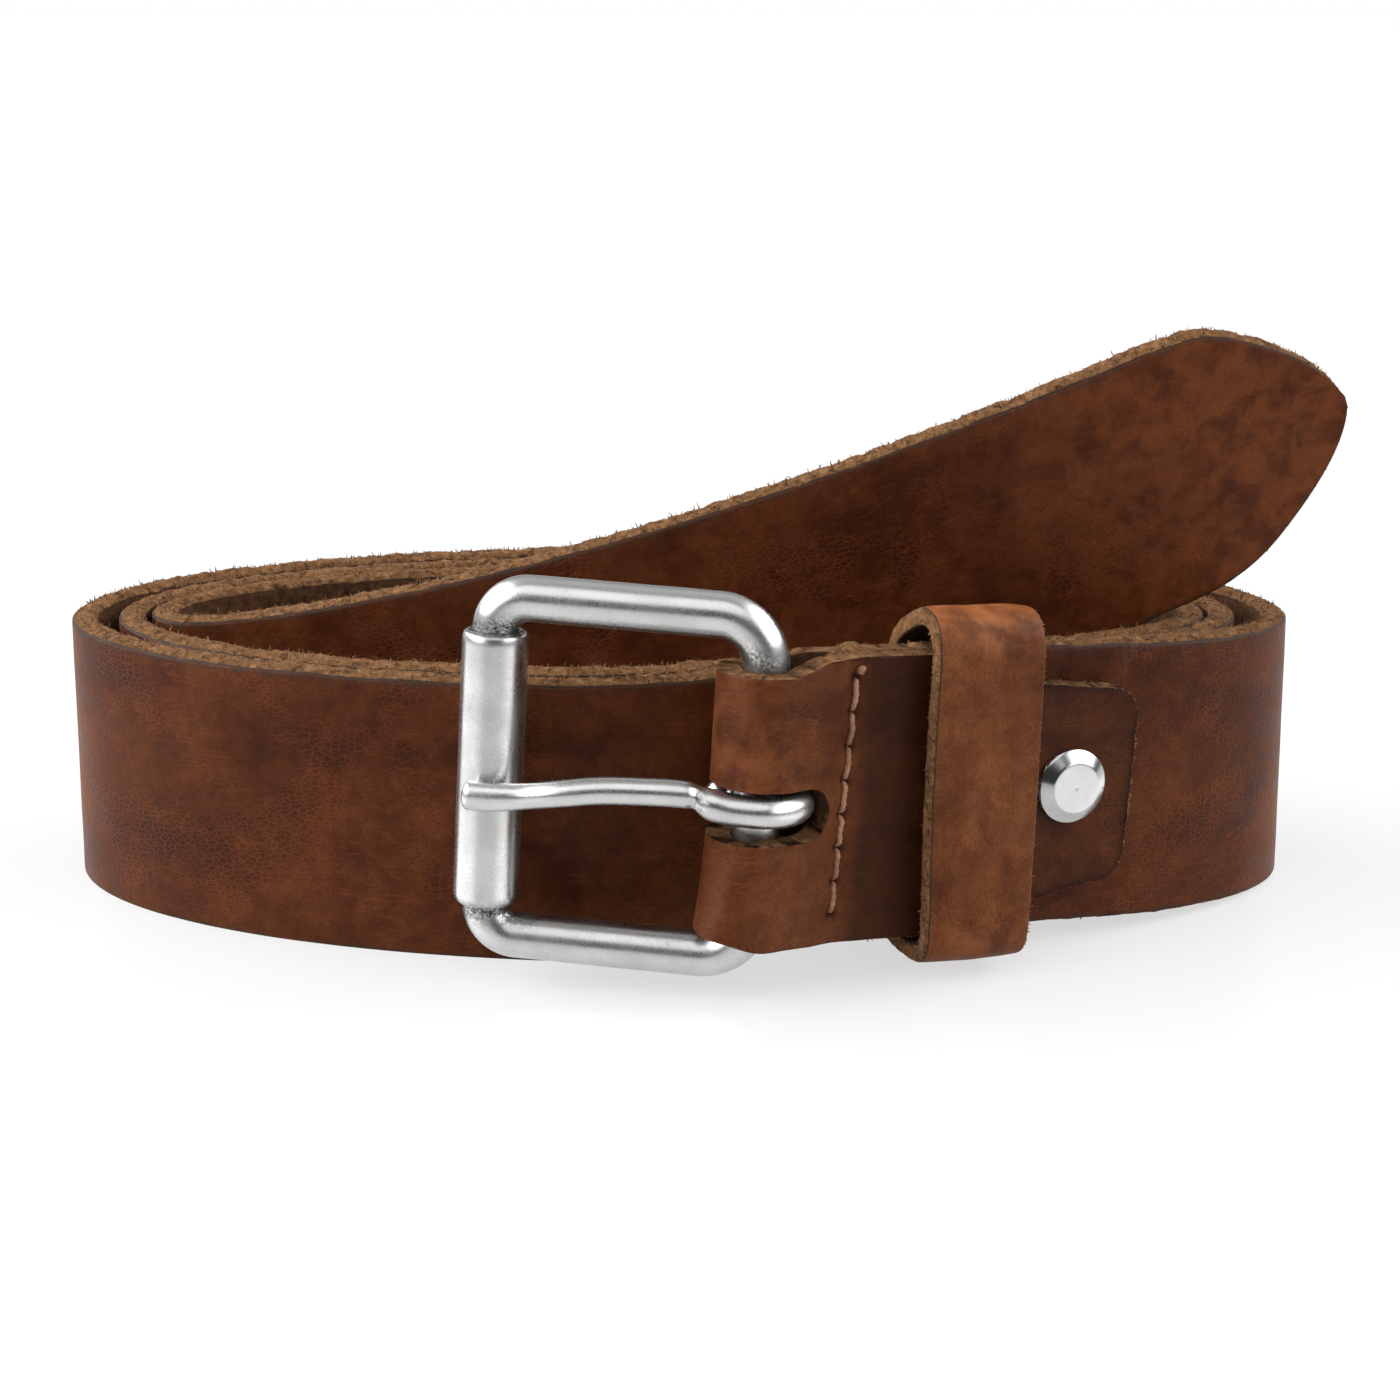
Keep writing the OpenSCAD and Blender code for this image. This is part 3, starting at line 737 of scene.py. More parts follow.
def punch_holes(points, cut, frames, lengths):
    """Moves a ring of points to each hole's rim. Returns the first corners of the faces to leave out,
    and the faces of the holes' walls.
    """
    skip = set()
    walls = []
    block = [(r, -2) for r in range(-3, 3)] + [(3, c) for c in range(-2, 2)]
    block += [(r, 2) for r in range(3, -3, -1)] + [(-3, c) for c in range(2, -2, -1)]
    for d in HOLES_FROM_TIP:
        row = int(np.argmin([abs(lengths[-1] - l - d) for l in lengths]))
        up, deep = axes_of(frames[row])
        forward = np.cross(up, deep)
        centre = np.mean([points[row * STRAP_COLUMNS + c] for c in (FRONT_MIDDLE, BACK_MIDDLE)], axis=0)
        front, rear = [], []
        for r, c in block:
            angle = atan2(c * HOLE_STRETCH, -r * STEP)
            on_rim = centre - HOLE_R * cos(angle) * forward + HOLE_R * sin(angle) * up
            for rim, column, depth in ((front, FRONT_MIDDLE + c, -0.5), (rear, BACK_MIDDLE - c, 0.5)):
                index = (row + r) * STRAP_COLUMNS + column
                points[index] = on_rim + depth * STRAP_T * deep
                cut[index] = 0.5
                rim.append(index)
        for r in range(-3, 3):
            for c in range(-2, 2):
                skip.update((row + r) * STRAP_COLUMNS + k + c for k in (FRONT_MIDDLE, BACK_MIDDLE))
        for k in range(len(block)):
            m = (k + 1) % len(block)
            walls.append((front[k], front[m], rear[m], rear[k]))
    return skip, walls


def build_strap():
    """Makes the strap. Returns its points before they were roughened, and their outward directions."""
    frames = end_frames() + coil_frames() + tip_frames()
    rows = len(frames)
    lengths = [0.0]
    for f, g in zip(frames, frames[1:]):
        lengths.append(lengths[-1] + np.linalg.norm(np.subtract(g[0], f[0])))
    points, place, cut, flesh, worn, outward = [], [], [], [], [], []
    for i, f in enumerate(frames):
        tip_d = lengths[-1] - lengths[i]
        top, low = tip_width(tip_d, TIP_POINT), tip_width(tip_d, TIP_POINT_LOW)
        ragged = 0.14 * noise.noise(Vector((lengths[i] / 9, 3.1, 0)))
        turned = abs((frames[min(i + 1, rows - 1)][1] - f[1] + 180) % 360 - 180) / STEP
        bent = float(smooth_step((turned - GENTLE_BEND) / (TIGHT_BEND - GENTLE_BEND)))
        lightened = TIP_WEAR * float(smooth_step((70 - tip_d) / 60)) + BEND_WEAR * bent
        up, deep = axes_of(f)
        for x, b, c, fl in strap_profile(top + ragged):
            x *= 1 if x > 0 else low / top
            points.append(np.array(f[0]) + x * up + (b - STRAP_T / 2) * deep)
            place.append((lengths[i], x, 8 * fl))
            cut.append(c)
            flesh.append(fl)
            outward.append(up * copysign(1, x) if c > 0.3 else -deep)
            worn.append(lightened * (1 - fl))
    points, outward, cut = np.array(points), np.array(outward), np.array(cut)
    # put the line where the CAD strap is
    low, high = (np.array(c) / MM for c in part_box("strap"))
    points += (low + high) / 2 - (points.min(0) + points.max(0)) / 2
    smooth_points = points.copy()
    raw = share((cut - 0.35) / 0.5)
    rough = 0.32 * wobble(points, 1.5, 1) + 0.22 * wobble(points, 0.8, 2) + 0.18 * wobble(points, 4.0, 3)
    points += outward * (raw * rough)[:, None]
    points += outward * ((1 - raw) * 0.05 * wobble(points, 7.0, 4))[:, None]
    points[:, 2] = np.maximum(points[:, 2], 0)
    skip, walls = punch_holes(points, cut, frames, lengths)
    faces = [face for face in grid_faces(rows, STRAP_COLUMNS) if face[0] not in skip] + walls
    faces.append(tuple(range(STRAP_COLUMNS - 1, -1, -1)))
    faces.append(tuple(range((rows - 1) * STRAP_COLUMNS, rows * STRAP_COLUMNS)))
    dark_tone_and_shade = np.zeros(len(points))
    piece = make_mesh("belt_strap", points, faces,
                      {"place": place, "cut": cut, "flesh": flesh, "worn": worn, "dark_tone_and_shade": dark_tone_and_shade})
    clean(piece)
    dress(piece, "strap", "strap_leather", strap_leather, "strap")
    return smooth_points, outward


CLEAR_OF_FLOOR = 1.0
TOP_FIBRES = 3.4  # for each row of points
BOTTOM_FIBRES = 0.8


def build_strap_fibres(points, outward):
    """Loose fibres on both cut edges. The bottom ones are short, and none is near the floor."""
    rng = random.Random(7)
    roots, normals, lengths = [], [], []
    top = FACE_COLUMNS
    bottom = 2 * FACE_COLUMNS + len(EDGE)
    for i in range(len(points) // STRAP_COLUMNS - 2):
        for first, count in ((top, TOP_FIBRES), (bottom, BOTTOM_FIBRES)):
            number = int(count) + (rng.random() < count % 1)
            for _ in range(number):
                k = i * STRAP_COLUMNS + first + rng.randint(2, 6)
                part = rng.random()
                a, b = points[k], points[k + STRAP_COLUMNS]
                if a[2] < CLEAR_OF_FLOOR:
                    continue
                roots.append(a + part * (b - a))
                normals.append(outward[k])
                lengths.append(min(1.3, 0.22 + rng.expovariate(4.2)) * (1 if first == top else 0.45))
    piece = fibres("strap_edge_fibres", roots, normals, lengths, rng)
    dress(piece, "strap", "strap_leather", loose_fibre)


# -------- the chape
CHAPE_T = 3.3
CHAPE_EDGE_R = 0.5
FOLD_R = 6.6
TONGUE_L = 55.3
TONGUE_R = 4.2
BACK_L = 21.5
LEG_Y = 3.45
SLOT_MID = -1.0
SLOT_R = 3.6
SLOT_S = 5.0
STITCH_S = 11.0
STITCH_N = 7
STITCH_PITCH = 32.6 / 7
STITCH_LOW = -15.7
SEAM_SLANT = 0.036
THREAD_R = 0.36
# how far the tongue reaches up and down from the middle: (s, distance)
TOP_KNOTS = [(-9, 17.7), (1, 17.8), (8, 19.5), (14, 19.8), (24, 19.8), (38, 15.2), (52, 14.4), (56, 14.2)]
BOTTOM_KNOTS = [(-10.5, 14.6), (-5, 17.4), (1, 19.1), (8, 19.5), (14, 19.6), (24, 19.6), (38, 16.0),
                (52, 13.6), (56, 13.2)]
LINE_STEP = 0.1
SOFTEN = 25  # steps of the line on each side that a bend is spread over
HALF_COLUMNS = 38


def chape_line():
    """The outer face seen from the edge: lengths, and (s, y), from the tongue's end round the fold."""
    a = atan2(LEG_Y, STITCH_S) + acos(FOLD_R / hypot(LEG_Y, STITCH_S))
    arc = [(FOLD_R * cos(t), -FOLD_R * sin(t)) for t in np.linspace(a, 2 * pi - a, 90)]
    corners = np.array([(TONGUE_L, -LEG_Y), (STITCH_S, -LEG_Y)] + arc + [(STITCH_S, LEG_Y), (BACK_L, LEG_Y)])
    steps = np.r_[0, np.cumsum(np.linalg.norm(np.diff(corners, axis=0), axis=1))]
    at = np.arange(0, steps[-1], LINE_STEP)
    line = np.stack([np.interp(at, steps, corners[:, k]) for k in (0, 1)], 1)
    kernel = np.exp(-np.linspace(-2.5, 2.5, 2 * SOFTEN + 1) ** 2 / 2)
    kernel /= kernel.sum()
    before = [line[0] + (SOFTEN - k) * (line[0] - line[1]) for k in range(SOFTEN)]
    after = [line[-1] + (k + 1) * (line[-1] - line[-2]) for k in range(SOFTEN)]
    padded = np.concatenate([before, line, after])
    return at, np.stack([np.convolve(padded[:, k], kernel, "valid") for k in (0, 1)], 1)


def tongue_trim(s):
    """How much the tongue's rounded corners take off its width."""
    past = s - (TONGUE_L - TONGUE_R)
    return 0 if past <= 0 else TONGUE_R - sqrt(max(0, TONGUE_R ** 2 - past ** 2))


def reach(knots, s):
    """Distances from the middle to the chape's edge, with the tongue's corners taken off."""
    return np.array([through(knots, min(a, 55.9)) - tongue_trim(min(a, TONGUE_L)) for a in s])


def slot_half(s):
    """Half the slot's height at s, which is 0 past its end."""
    past = s - SLOT_S
    return SLOT_R if past <= 0 else sqrt(max(0, SLOT_R ** 2 - past ** 2))


def chape_rows():
    """(s, y) of the rows of points: even ones, and closer ones where the outline is round."""
    at, line = chape_line()
    turn = int(np.argmin(line[:, 0]))

    def at_s(s, back=False):
        part = slice(turn, None) if back else slice(0, turn)
        order = np.argsort(line[part, 0])
        return float(np.interp(s, line[part, 0][order], at[part][order]))

    round_steps = np.sin(np.radians(np.arange(0, 91, 9)))
    slot_front = [at_s(SLOT_S + SLOT_R * q) for q in round_steps]
    slot_back = [at_s(SLOT_S + SLOT_R * q, True) for q in round_steps]
    tongue_end = [at_s(TONGUE_L - TONGUE_R + TONGUE_R * q) for q in round_steps]
    zones = [(min(zone) - 0.2, max(zone) + 0.2) for zone in (slot_front, slot_back, tongue_end)]
    even = [p for p in np.arange(0, at[-1], 0.5) if not any(a < p < b for a, b in zones)]
    rows = np.array(sorted(slot_front + slot_back + tongue_end + even + [at[-1]]))
    return list(zip(np.interp(rows, at, line[:, 0]), np.interp(rows, at, line[:, 1])))


def chape_sheet():
    """Points (s, y, w) and faces of the chape's outer face, in a part below the slot and one above."""
    points, faces, grid = [], [], []
    for s, y in chape_rows():
        trim = tongue_trim(s) if y < 0 else 0
        top = through(TOP_KNOTS, s) - trim
        bottom = -through(BOTTOM_KNOTS, s) + trim
        h = slot_half(s)
        row = []
        for w0, w1 in ((bottom, SLOT_MID - h), (SLOT_MID + h, top)):
            # past the slot's end the second part starts from the first part's last point
            part = [row[0][-1]] if row and h < 0.05 else []
            for k in range(len(part), HALF_COLUMNS + 1):
                part.append(len(points))
                points.append((s, y, w0 + (w1 - w0) * k / HALF_COLUMNS))
            row.append(part)
        grid.append(row)
    for row, next_row in zip(grid, grid[1:]):
        for p, q in zip(row, next_row):
            faces += [(p[k], p[k + 1], q[k + 1], q[k]) for k in range(HALF_COLUMNS)]
    points = np.array(points)
    # the leather opens out over the buckle's lower corner, and is drawn in along the stitches
    s, y, w = points.T
    opened = share((1 - w) / 20) ** 2 * share((4 - s) / 8) * share((5 - y) / 8)
    points[:, 0] -= 3.4 * opened
    points[:, 1] -= 0.6 * opened
    seam = STITCH_S + SEAM_SLANT * w
    points[:, 1] += np.where(y < 0, 0.32 * bell(s - seam, 1.5) * (np.abs(w - 1) < 18.5), 0)
    return points, faces


def needle_holes(s, y, w):
    """How deep each place is in a needle hole of the seam in front, from 0 to 1."""
    hole = np.zeros(len(s))
    for i in range(STITCH_N + 1):
        w0 = STITCH_LOW + i * STITCH_PITCH
        d = np.hypot(s - STITCH_S - SEAM_SLANT * w0, w - w0)
        hole = np.maximum(hole, bell(d, 0.74) * (y < 0))
    return hole


def build_chape():
    """Makes the chape. Returns it with the share of cut rim of each point."""
    points, faces = chape_sheet()
    piece, rim, back, local = thick_sheet("belt_chape", points, faces, 0, CHAPE_T, CHAPE_EDGE_R)
    s, y, w = local.T
    front = y < 0
    face_out = (1 - rim) * (1 - back)
    hole = needle_holes(s, y, w)
    ripple = bell(s - 4, 6) * front
    move = 0.05 * wobble(local, 3.0, 11) * face_out
    move += 0.10 * wobble(local * (1, 1, 0.45), 2.2, 12) * ripple * face_out
    move += 0.16 * wobble(local, 1.2, 13) * rim * np.clip((s - 14) / 10, 0.25, 1)
    move -= 0.75 * hole * face_out
    push_out(piece, move)
    # darker tone: the tongue's burnished rim is its own colour; the needle holes get painted shade, and the
    # front leg a painted shadow of the keeper
    from_edge = np.minimum.reduce([reach(TOP_KNOTS, s) - w, reach(BOTTOM_KNOTS, s) + w, TONGUE_L - s])
    burnished = 0.30 + 0.55 * np.exp(-np.clip(from_edge, 0, None) / 0.9)
    # painted shadow of the keeper on the front leg, from the stitches to under the keeper
    keeper_shadow = 0.62 * smooth_step((s - 10.6) / 4) * smooth_step((30 - s) / 4)
    dark_tone_and_shade = np.maximum.reduce([(s > 37) * front * burnished, 0.95 * hole, keeper_shadow * front])
    # painted shade on the cut rim inside the slot, lighter on its lower lip
    slot_rim_shade = rim * (np.abs(w - SLOT_MID) < SLOT_R + 0.8) * (s < 10)
    # lighter round the fold and on the front leg by the slot: pull-up wear of the bent leather together with
    # a painted sheen, patchy and weaker below the slot
    worn = bell(s + 2.5, 5.5) * (y < 3) * 0.75 + 0.30 * bell(s - 6, 5) * front
    worn *= (0.50 + 0.30 * wobble(local, 9.0, 14)) * np.where(w > SLOT_MID, 1, 0.45)
    set_values(piece.data, {
        "place": np.stack([s + 400, w, 6 * back], 1), "cut": rim, "flesh": back,
        "worn": share(worn) * face_out,
        "dark_tone_and_shade": dark_tone_and_shade * face_out + np.where(w < SLOT_MID, 0.25, 0.8) * slot_rim_shade})
    dress(piece, "strap", "chape_leather", chape_leather, "chape")
    return piece, rim


# -------- the seam
def ply(step, angle):
    """The radius of three-ply twisted thread, as a share of its mean."""
    return 1 + 0.16 * cos(3 * (angle + 0.42 * step))


def build_seam(name, side, node):
    """A row of stitches of three-ply thread. side is -1 in front and 1 behind."""
    points, faces = [], []

    def add_thread(line, radius, sides, shape=None):
        new_points, new_faces = tube(from_end(line), radius, sides, up=along, shape=shape)
        faces.extend([tuple(k + len(points) for k in face) for face in new_faces])
        points.extend(new_points)

    level = LEG_Y - 0.30 * (side < 0)
    for i in range(STITCH_N):
        w0, w1 = STITCH_LOW + i * STITCH_PITCH, STITCH_LOW + (i + 1) * STITCH_PITCH
        knots = [(w0 + 0.20, level - 1.5), (w0 + 0.42, level - 0.5), (w0 + 0.95, level + 0.06),
                 ((w0 + w1) / 2, level + 0.20), (w1 - 0.95, level + 0.06), (w1 - 0.48, level - 0.5),
                 (w1 - 0.25, level - 1.5)]
        line = [(STITCH_S + SEAM_SLANT * w + 0.10 * sin(3 * k + i), side * y, w)
                for k, (w, y) in enumerate(knots)]
        add_thread(spline(line, False, 7), THREAD_R, 15, ply)
    if side < 0:
        # the knotted end above the last stitch
        s, w = STITCH_S + 0.9, STITCH_LOW + STITCH_N * STITCH_PITCH + 0.9
        line = [(s + 0.4 * q, 0.5 - level - 0.9 * sin(3 * q), w + 0.5 * q) for q in (0, 0.35, 0.7, 1)]
        add_thread(line, (0.35, 0.62, 0.58, 0.3), 12)
    piece = make_mesh(name, points, faces)
    clean(piece)
    dress(piece, "strap", "thread", thread, node)


# -------- the keeper
KEEPER_S = 22.0
KEEPER_L = 16.0
KEEPER_T = 2.5
KEEPER_EDGE_R = 0.45
KEEPER_COLUMNS = 34
# outer face of the loop, (y, w), anticlockwise seen from the tongue's end
KEEPER_LOOP = [(-7.9, 0), (-8.15, -9), (-8.3, -15), (-7.9, -20.2), (-5.5, -22.6), (-1, -23.1), (3.6, -22.8),
               (7.3, -21.1), (8.6, -16.5), (8.8, -9), (8.8, 2), (8.8, 12), (8.4, 18), (6.7, 21.6),
               (3.6, 23.8), (0.2, 25.4), (-2.8, 25.7), (-5.6, 24.2), (-7.0, 20.6), (-7.3, 14), (-7.6, 7)]


def build_keeper():
    """Makes the keeper. Returns it with the share of cut rim of each point."""
    loop = spline(KEEPER_LOOP, True, 9)
    wide = KEEPER_COLUMNS + 1
    points, faces = [], []
    for i, (y, w) in enumerate(loop):
        left = KEEPER_S - 0.030 * w - 0.25 * cos(w / 9)
        right = KEEPER_S + KEEPER_L - 0.022 * w
        points += [(left + (right - left) * k / KEEPER_COLUMNS, y, w) for k in range(wide)]
        a, b = i * wide, (i + 1) % len(loop) * wide
        faces += [(a + k, a + k + 1, b + k + 1, b + k) for k in range(KEEPER_COLUMNS)]
    piece, rim, back, local = thick_sheet("belt_keeper", points, faces, KEEPER_COLUMNS // 2, KEEPER_T,
                                          KEEPER_EDGE_R)
    s, y, w = local.T
    face_out = (1 - rim) * (1 - back)
    crest = bell(w - 24.5, 3.5)
    middle_s = KEEPER_S + KEEPER_L / 2
    move = 0.07 * wobble(local, 3.5, 21) * face_out
    move += 0.22 * wobble(local * (0.35, 1.3, 1.3), 1.5, 22) * crest * face_out
    move += 0.20 * wobble(local, 1.1, 23) * rim
    move += 0.28 * (1 - ((s - middle_s) / (KEEPER_L / 2)) ** 2) * face_out * (y < 0)
    push_out(piece, move)
    # lighter along the crest of the top bend, a painted highlight, and in bands at the bottom bend and
    # across the middle
    worn = 0.9 * crest * (0.6 + 0.4 * wobble(local, 2.0, 24)) + 0.25 * bell(w + 20, 4)
    worn += 0.22 * bell(s - middle_s, 4)
    # random darker patches, and a burnished dark rim on the far edge
    dark_tone_and_shade = 0.28 * share(wobble(local, 3.4, 25) - 0.18) / 0.5
    dark_edge = 0.85 * rim * (s > middle_s)
    set_values(piece.data, {
        "place": np.stack([w + 700, s, 5 * back], 1), "cut": rim, "flesh": back,
        "worn": share(worn) * face_out,
        "dark_tone_and_shade": share(dark_tone_and_shade) * face_out + dark_edge})
    dress(piece, "keeper", "keeper_leather", keeper_leather, "keeper_loop")
    return piece, rim


def build_rim_fibres(name, piece, rim, body, slot, count, seed, longest, wanted):
    """Loose fibres on the cut rim of a thickened piece, at the places (s, y) where wanted() is true."""
    rng = random.Random(seed)
    co, normal = points_of(piece), normals_of(piece)
    s, y, _ = end_places(co).T
    raw = [i for i in range(len(co)) if rim[i] > 0.9 and wanted(s[i], y[i])]
    chosen = [rng.choice(raw) for _ in range(count)]
    lengths = [min(longest, 0.15 + rng.expovariate(6)) for _ in chosen]
    fuzz = fibres(name, [co[i] for i in chosen], [normal[i] for i in chosen], lengths, rng)
    dress(fuzz, body, slot, loose_fibre)


# -------- the buckle
BAR_R = 3.1
BAR_SIDES = 40
BAR_STEP = 1.2
FRAME_H = 46.6
HINGE_R = 6.6
ROLLER_R = 4.4
ROLLER_BORE_R = 3.18
ROLLER_HALF = 18.8
PLAY = 0.15
PRONG_R = 1.85
PRONG_LOOP_R = 2.15
PRONG_LOW = -0.2


def frame_line():
    """The middle of the frame's bar: four arcs, each with a straight run to the next one's start."""
    half = FRAME_H / 2
    right, top = frame_l - ROLLER_R, half - ROLLER_R
    middles = [(right, top, ROLLER_R), (HINGE_R, half - HINGE_R, HINGE_R),
               (HINGE_R, HINGE_R - half, HINGE_R), (right, -top, ROLLER_R)]
    turns = [np.radians(np.arange(first, first + 91, 6)) for first in (0, 90, 180, 270)]
    arcs = [[(x + r * cos(a), 0, z + r * sin(a)) for a in turn] for (x, z, r), turn in zip(middles, turns)]
    line = []
    for arc, next_arc in zip(arcs, arcs[1:] + arcs[:1]):
        a, b = np.array(arc[-1]), np.array(next_arc[0])
        count = int(np.linalg.norm(b - a) / BAR_STEP)
        line += arc + [tuple(a + (b - a) * q) for q in np.arange(1, count) / count]
    return line


def build_frame():
    line = frame_line()
    points, faces = tube(from_buckle(line), BAR_R, BAR_SIDES, closed=True, up=buckle_y)
    local = points - hinge
    x, z = local @ buckle_x, local @ across - frame_mid
    centre = np.repeat(from_buckle(line), BAR_SIDES, axis=0)
    points += (points - centre) / BAR_R * (0.035 * wobble(local, 5.0, 31))[:, None]
    # dark beside the roller's ends, inside the chape and in the corners
    oxide = bell(np.abs(z) - 19.6, 1.5) * (x > frame_l - 8)
    oxide = np.maximum(oxide, bell(z - 18, 2.2) * (x < 5) * 0.9)
    oxide = np.maximum(oxide, 0.15 * bell(np.abs(z) - FRAME_H / 2 + 3.0, 1.2))
    piece = make_mesh("buckle_bar_frame", points, faces, {"oxide": share(oxide)})
    clean(piece)
    dress(piece, "buckle", "nickel", nickel, "buckle_frame")


def on_roller_axis(p):
    return from_buckle((frame_l + p[0], p[1], p[2]))


def build_roller():
    half = ROLLER_HALF
    end = [(ROLLER_BORE_R, half - 0.3), (ROLLER_BORE_R + 0.35, half), (ROLLER_R - 0.75, half),
           (ROLLER_R - 0.2, half - 0.35), (ROLLER_R, half - 1.2)]
    profile = [(r, -z) for r, z in end]
    profile += [(ROLLER_R, z) for z in np.linspace(-half + 3, half - 3, 14)]
    profile += end[::-1]
    profile += [(ROLLER_BORE_R, z) for z in np.linspace(half - 3, -half + 3, 6)]
    points, faces = lathe(rounded(profile, 0.3, 3), on_roller_axis, 72)
    z = (points - hinge) @ across - frame_mid
    axis_at = from_buckle(np.stack([np.full(len(z), frame_l), np.zeros(len(z)), z], 1))
    r = np.linalg.norm(points - axis_at, axis=1)
    dents = 0.04 * wobble(points, 4.0, 41) * (r > 4)
    points += (points - axis_at) / r[:, None] * dents[:, None]
    oxide = share(bell(np.abs(z) - half, 0.9) * 0.55 + (r < 3.9) * 0.9)
    piece = make_mesh("buckle_roller", points, faces, {"oxide": oxide})
    clean(piece)
    dress(piece, "roller", "nickel", nickel, "roller")


def build_prong():
    r = PRONG_R
    loop = BAR_R + PLAY + PRONG_LOOP_R
    low = PRONG_LOW - frame_mid
    on_roller = ROLLER_R + r + PLAY
    line = [(loop * cos(a), loop * sin(a), low) for a in np.radians(np.arange(360, 89, -7.5))]
    start = len(line)
    # (x, y, z): out from the top of the loop, over the roller and to the point
    shank = [(3, loop + 0.1, 0.10), (5.4, loop + 0.3, 0.6), (7.6, loop + 0.45, 1.45), (10, loop + 0.7, 1.75),
             (15, loop + 0.95, 1.6), (20, loop + 1.25, 1.3), (25, loop + 1.45, 0.5), (30, on_roller, -0.5),
             (34, on_roller, -1.0), (36.9, on_roller - 0.15, -1.1), (38.4, on_roller - 0.3, -1.1)]
    curve = spline([line[-1]] + [(x, y, low + z) for x, y, z in shank], False, 6)
    line = np.array(line + [tuple(p) for p in curve[1:]])
    x = line[:, 0]
    after = np.arange(len(line)) >= start
    radius = r + (PRONG_LOOP_R - r) * (1 - smooth_step((x - 5.2) / 2.4) * after)
    radius -= 0.26 * bell(x - 7.4, 1.0) * after
    radius -= 0.10 * bell(x - 31, 4) * after
    end = share((x - 37.3) / 1.1) * after
    radius *= np.sqrt(np.clip(1 - end ** 2, 0.02, 1))
    first = np.linspace(1, 0, 4) ** 2
    radius[:4] *= np.sqrt(np.clip(1 - 0.75 * first, 0.05, 1))

    def flat(i, a):
        squash = 0.14 * float(after[i]) * float(smooth_step((x[i] - 27) / 8))
        return 1 + squash * (0.55 * sin(a) ** 2 - cos(a) ** 2)

    points, faces = tube(from_buckle(line), radius, 36, up=across, shape=flat)
    local = points - hinge
    px, py = local @ buckle_x, local @ buckle_y
    mark = bell(px - 7.0, 0.9) * (py > 4)
    points += np.outer(-0.30 * mark * share(wobble(local, 1.3, 51) + 0.4), buckle_y)
    oxide = share(0.55 * mark + 0.6 * bell(px - 35, 2.5) * (py < 5.6))
    piece = make_mesh("buckle_prong", points, faces, {"oxide": oxide})
    clean(piece)
    dress(piece, "prong", "nickel", nickel, "prong")


SCREW_S = 45.6
SCREW_W = 0.7
SCREW_HEAD_R = 5.3


def on_screw_axis(p):
    return from_end((SCREW_S + p[0], -p[2], SCREW_W + p[1]))


def build_screws():
    """The screw's round head in front, and plain steel for the small CAD parts behind."""
    face = LEG_Y + 0.05
    head = [(0.01, face - 3), (2.5, face - 3), (2.5, face - 0.1), (SCREW_HEAD_R - 0.15, face - 0.1),
            (SCREW_HEAD_R, face + 0.15), (SCREW_HEAD_R, face + 0.5), (3.55, face + 1.6), (0.01, face + 1.6)]
    points, faces = lathe(rounded(head, 0.14, 4), on_screw_axis, 96)
    piece = make_mesh("screw_head", points, faces, {"oxide": np.zeros(len(points))})
    clean(piece)
    dress(piece, "strap", "steel", steel, "screw_post")
    for name in ("screw", "keeper_staples"):
        metal_part = frame["nodes"][name]
        metal_part.data.materials.clear()
        metal_part.data.materials.append(steel)


# -------- making everything
def past_stitches(s, y):
    return s > STITCH_S


def in_front(s, y):
    return y < -1.5


strap_points, strap_out = build_strap()
build_strap_fibres(strap_points, strap_out)
chape, chape_rim = build_chape()
build_rim_fibres("chape_edge_fibres", chape, chape_rim, "strap", "chape_leather",
                 count=700, seed=3, longest=0.5, wanted=past_stitches)
build_seam("seam_front", -1, "front_thread")
build_seam("seam_back", 1, "back_thread")
keeper, keeper_rim = build_keeper()
build_rim_fibres("keeper_edge_fibres", keeper, keeper_rim, "keeper", "keeper_leather",
                 count=900, seed=5, longest=0.7, wanted=in_front)
build_frame()
build_roller()
build_prong()
build_screws()

# -------- floor, light and camera
FLOOR_CORNERS = [(-6000, -6000), (6000, -6000), (6000, 9000), (-6000, 9000)]
FLOOR_Z = -0.05
FLOOR_GLOW = 0.62
LEFT_WALL = 11.0
RIGHT_WALL = 7.0
TOP_PANEL = 0.35
BACK_WALL = 0.3
FRONT_DIM = 0.05
BACKDROP = 1.0
SUN_ANGLE = 50
SUN_POWER = 0.62
CAMERA_PLACE = (1.42, -316.06, 130.9)
CAMERA_PITCH = 18.0
FOCAL = 57.16


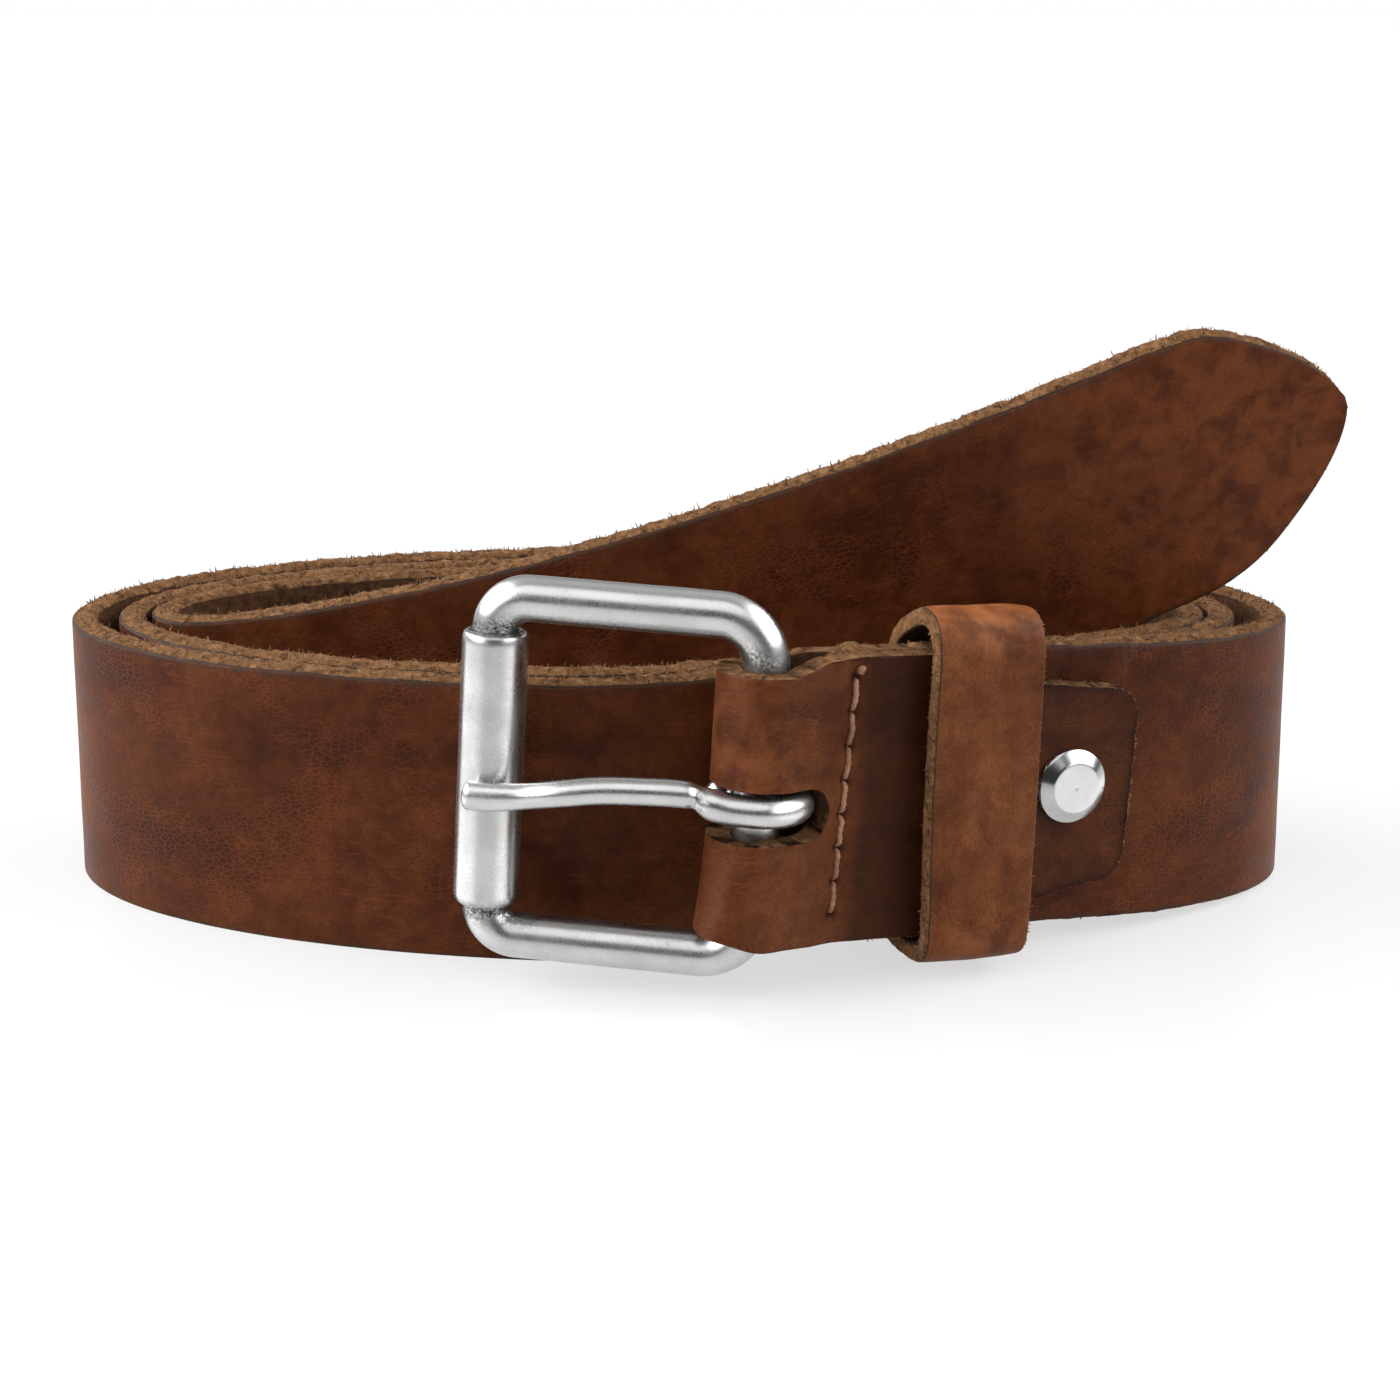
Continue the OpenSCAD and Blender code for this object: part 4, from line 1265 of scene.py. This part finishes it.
def floor_material():
    n = Nodes(bpy.data.materials.new("pale_floor"))
    speckle = n.noise(n.object_place(), 0.4, 2)
    colour = n.mix(speckle, (0.19, 0.19, 0.19), (0.21, 0.21, 0.21))
    return n.finish(Base_Color=colour, Roughness=0.09, Specular_IOR_Level=0.45,
                    Emission_Color=(1, 1, 1, 1), Emission_Strength=FLOOR_GLOW)


def build_floor():
    floor = make_mesh("floor", [(x, y, FLOOR_Z) for x, y in FLOOR_CORNERS], [(0, 1, 2, 3)])
    floor.data.materials.append(floor_material())


def sun_light(name, direction, angle, power):
    data = bpy.data.lights.new(name, "SUN")
    data.energy = power
    data.angle = radians(angle)
    lamp = add_object(name, data)
    lamp.rotation_euler = Vector(direction).to_track_quat("-Z", "Y").to_euler()


def studio_world():
    """A soft light tent: bright walls at both sides, dimmer ones above and behind, dark in front."""
    world = bpy.data.worlds.new("studio")
    bpy.context.scene.world = world
    n = Nodes(world)
    x, y, z = n.node("SeparateXYZ", Vector=n.node("TexCoord").outputs["Generated"]).outputs
    high = n.ramp(z, 0.10, 0.45)
    left = n.ramp(n.times(x, -1.0), 0.40, 0.85)
    left = n.times(left, n.times(high, LEFT_WALL))
    right = n.times(n.ramp(x, 0.40, 0.85), n.times(high, RIGHT_WALL))
    top = n.times(n.ramp(z, 0.35, 0.90), TOP_PANEL)
    back = n.times(n.ramp(y, -0.05, 0.55), BACK_WALL)
    dim = n.plus(top, n.plus(back, FRONT_DIM))
    light = n.plus(n.plus(left, right), dim)
    # what the camera sees past the floor is a plain pale backdrop
    seen = n.node("LightPath").outputs["Is Camera Ray"]
    light = n.times(light, n.math("SUBTRACT", 1.0, seen))
    light = n.plus(light, n.times(seen, BACKDROP))
    background = n.tree.nodes["Background"]
    n.put(background.inputs["Strength"], light)
    background.inputs["Color"].default_value = (1, 1, 1, 1)


build_floor()
studio_world()
sun_light("front_panel", (0.05, 0.62, -1), SUN_ANGLE, SUN_POWER)
bpy.context.scene.view_settings.view_transform = "Standard"

lens = bpy.data.cameras.new("camera")
lens.lens = FOCAL
lens.sensor_width = 36
lens.clip_start = 0.01
camera = add_object("camera", lens)
camera.location = Vector(CAMERA_PLACE) * MM
camera.rotation_euler = (radians(90 - CAMERA_PITCH), 0, 0)
bpy.context.scene.camera = camera
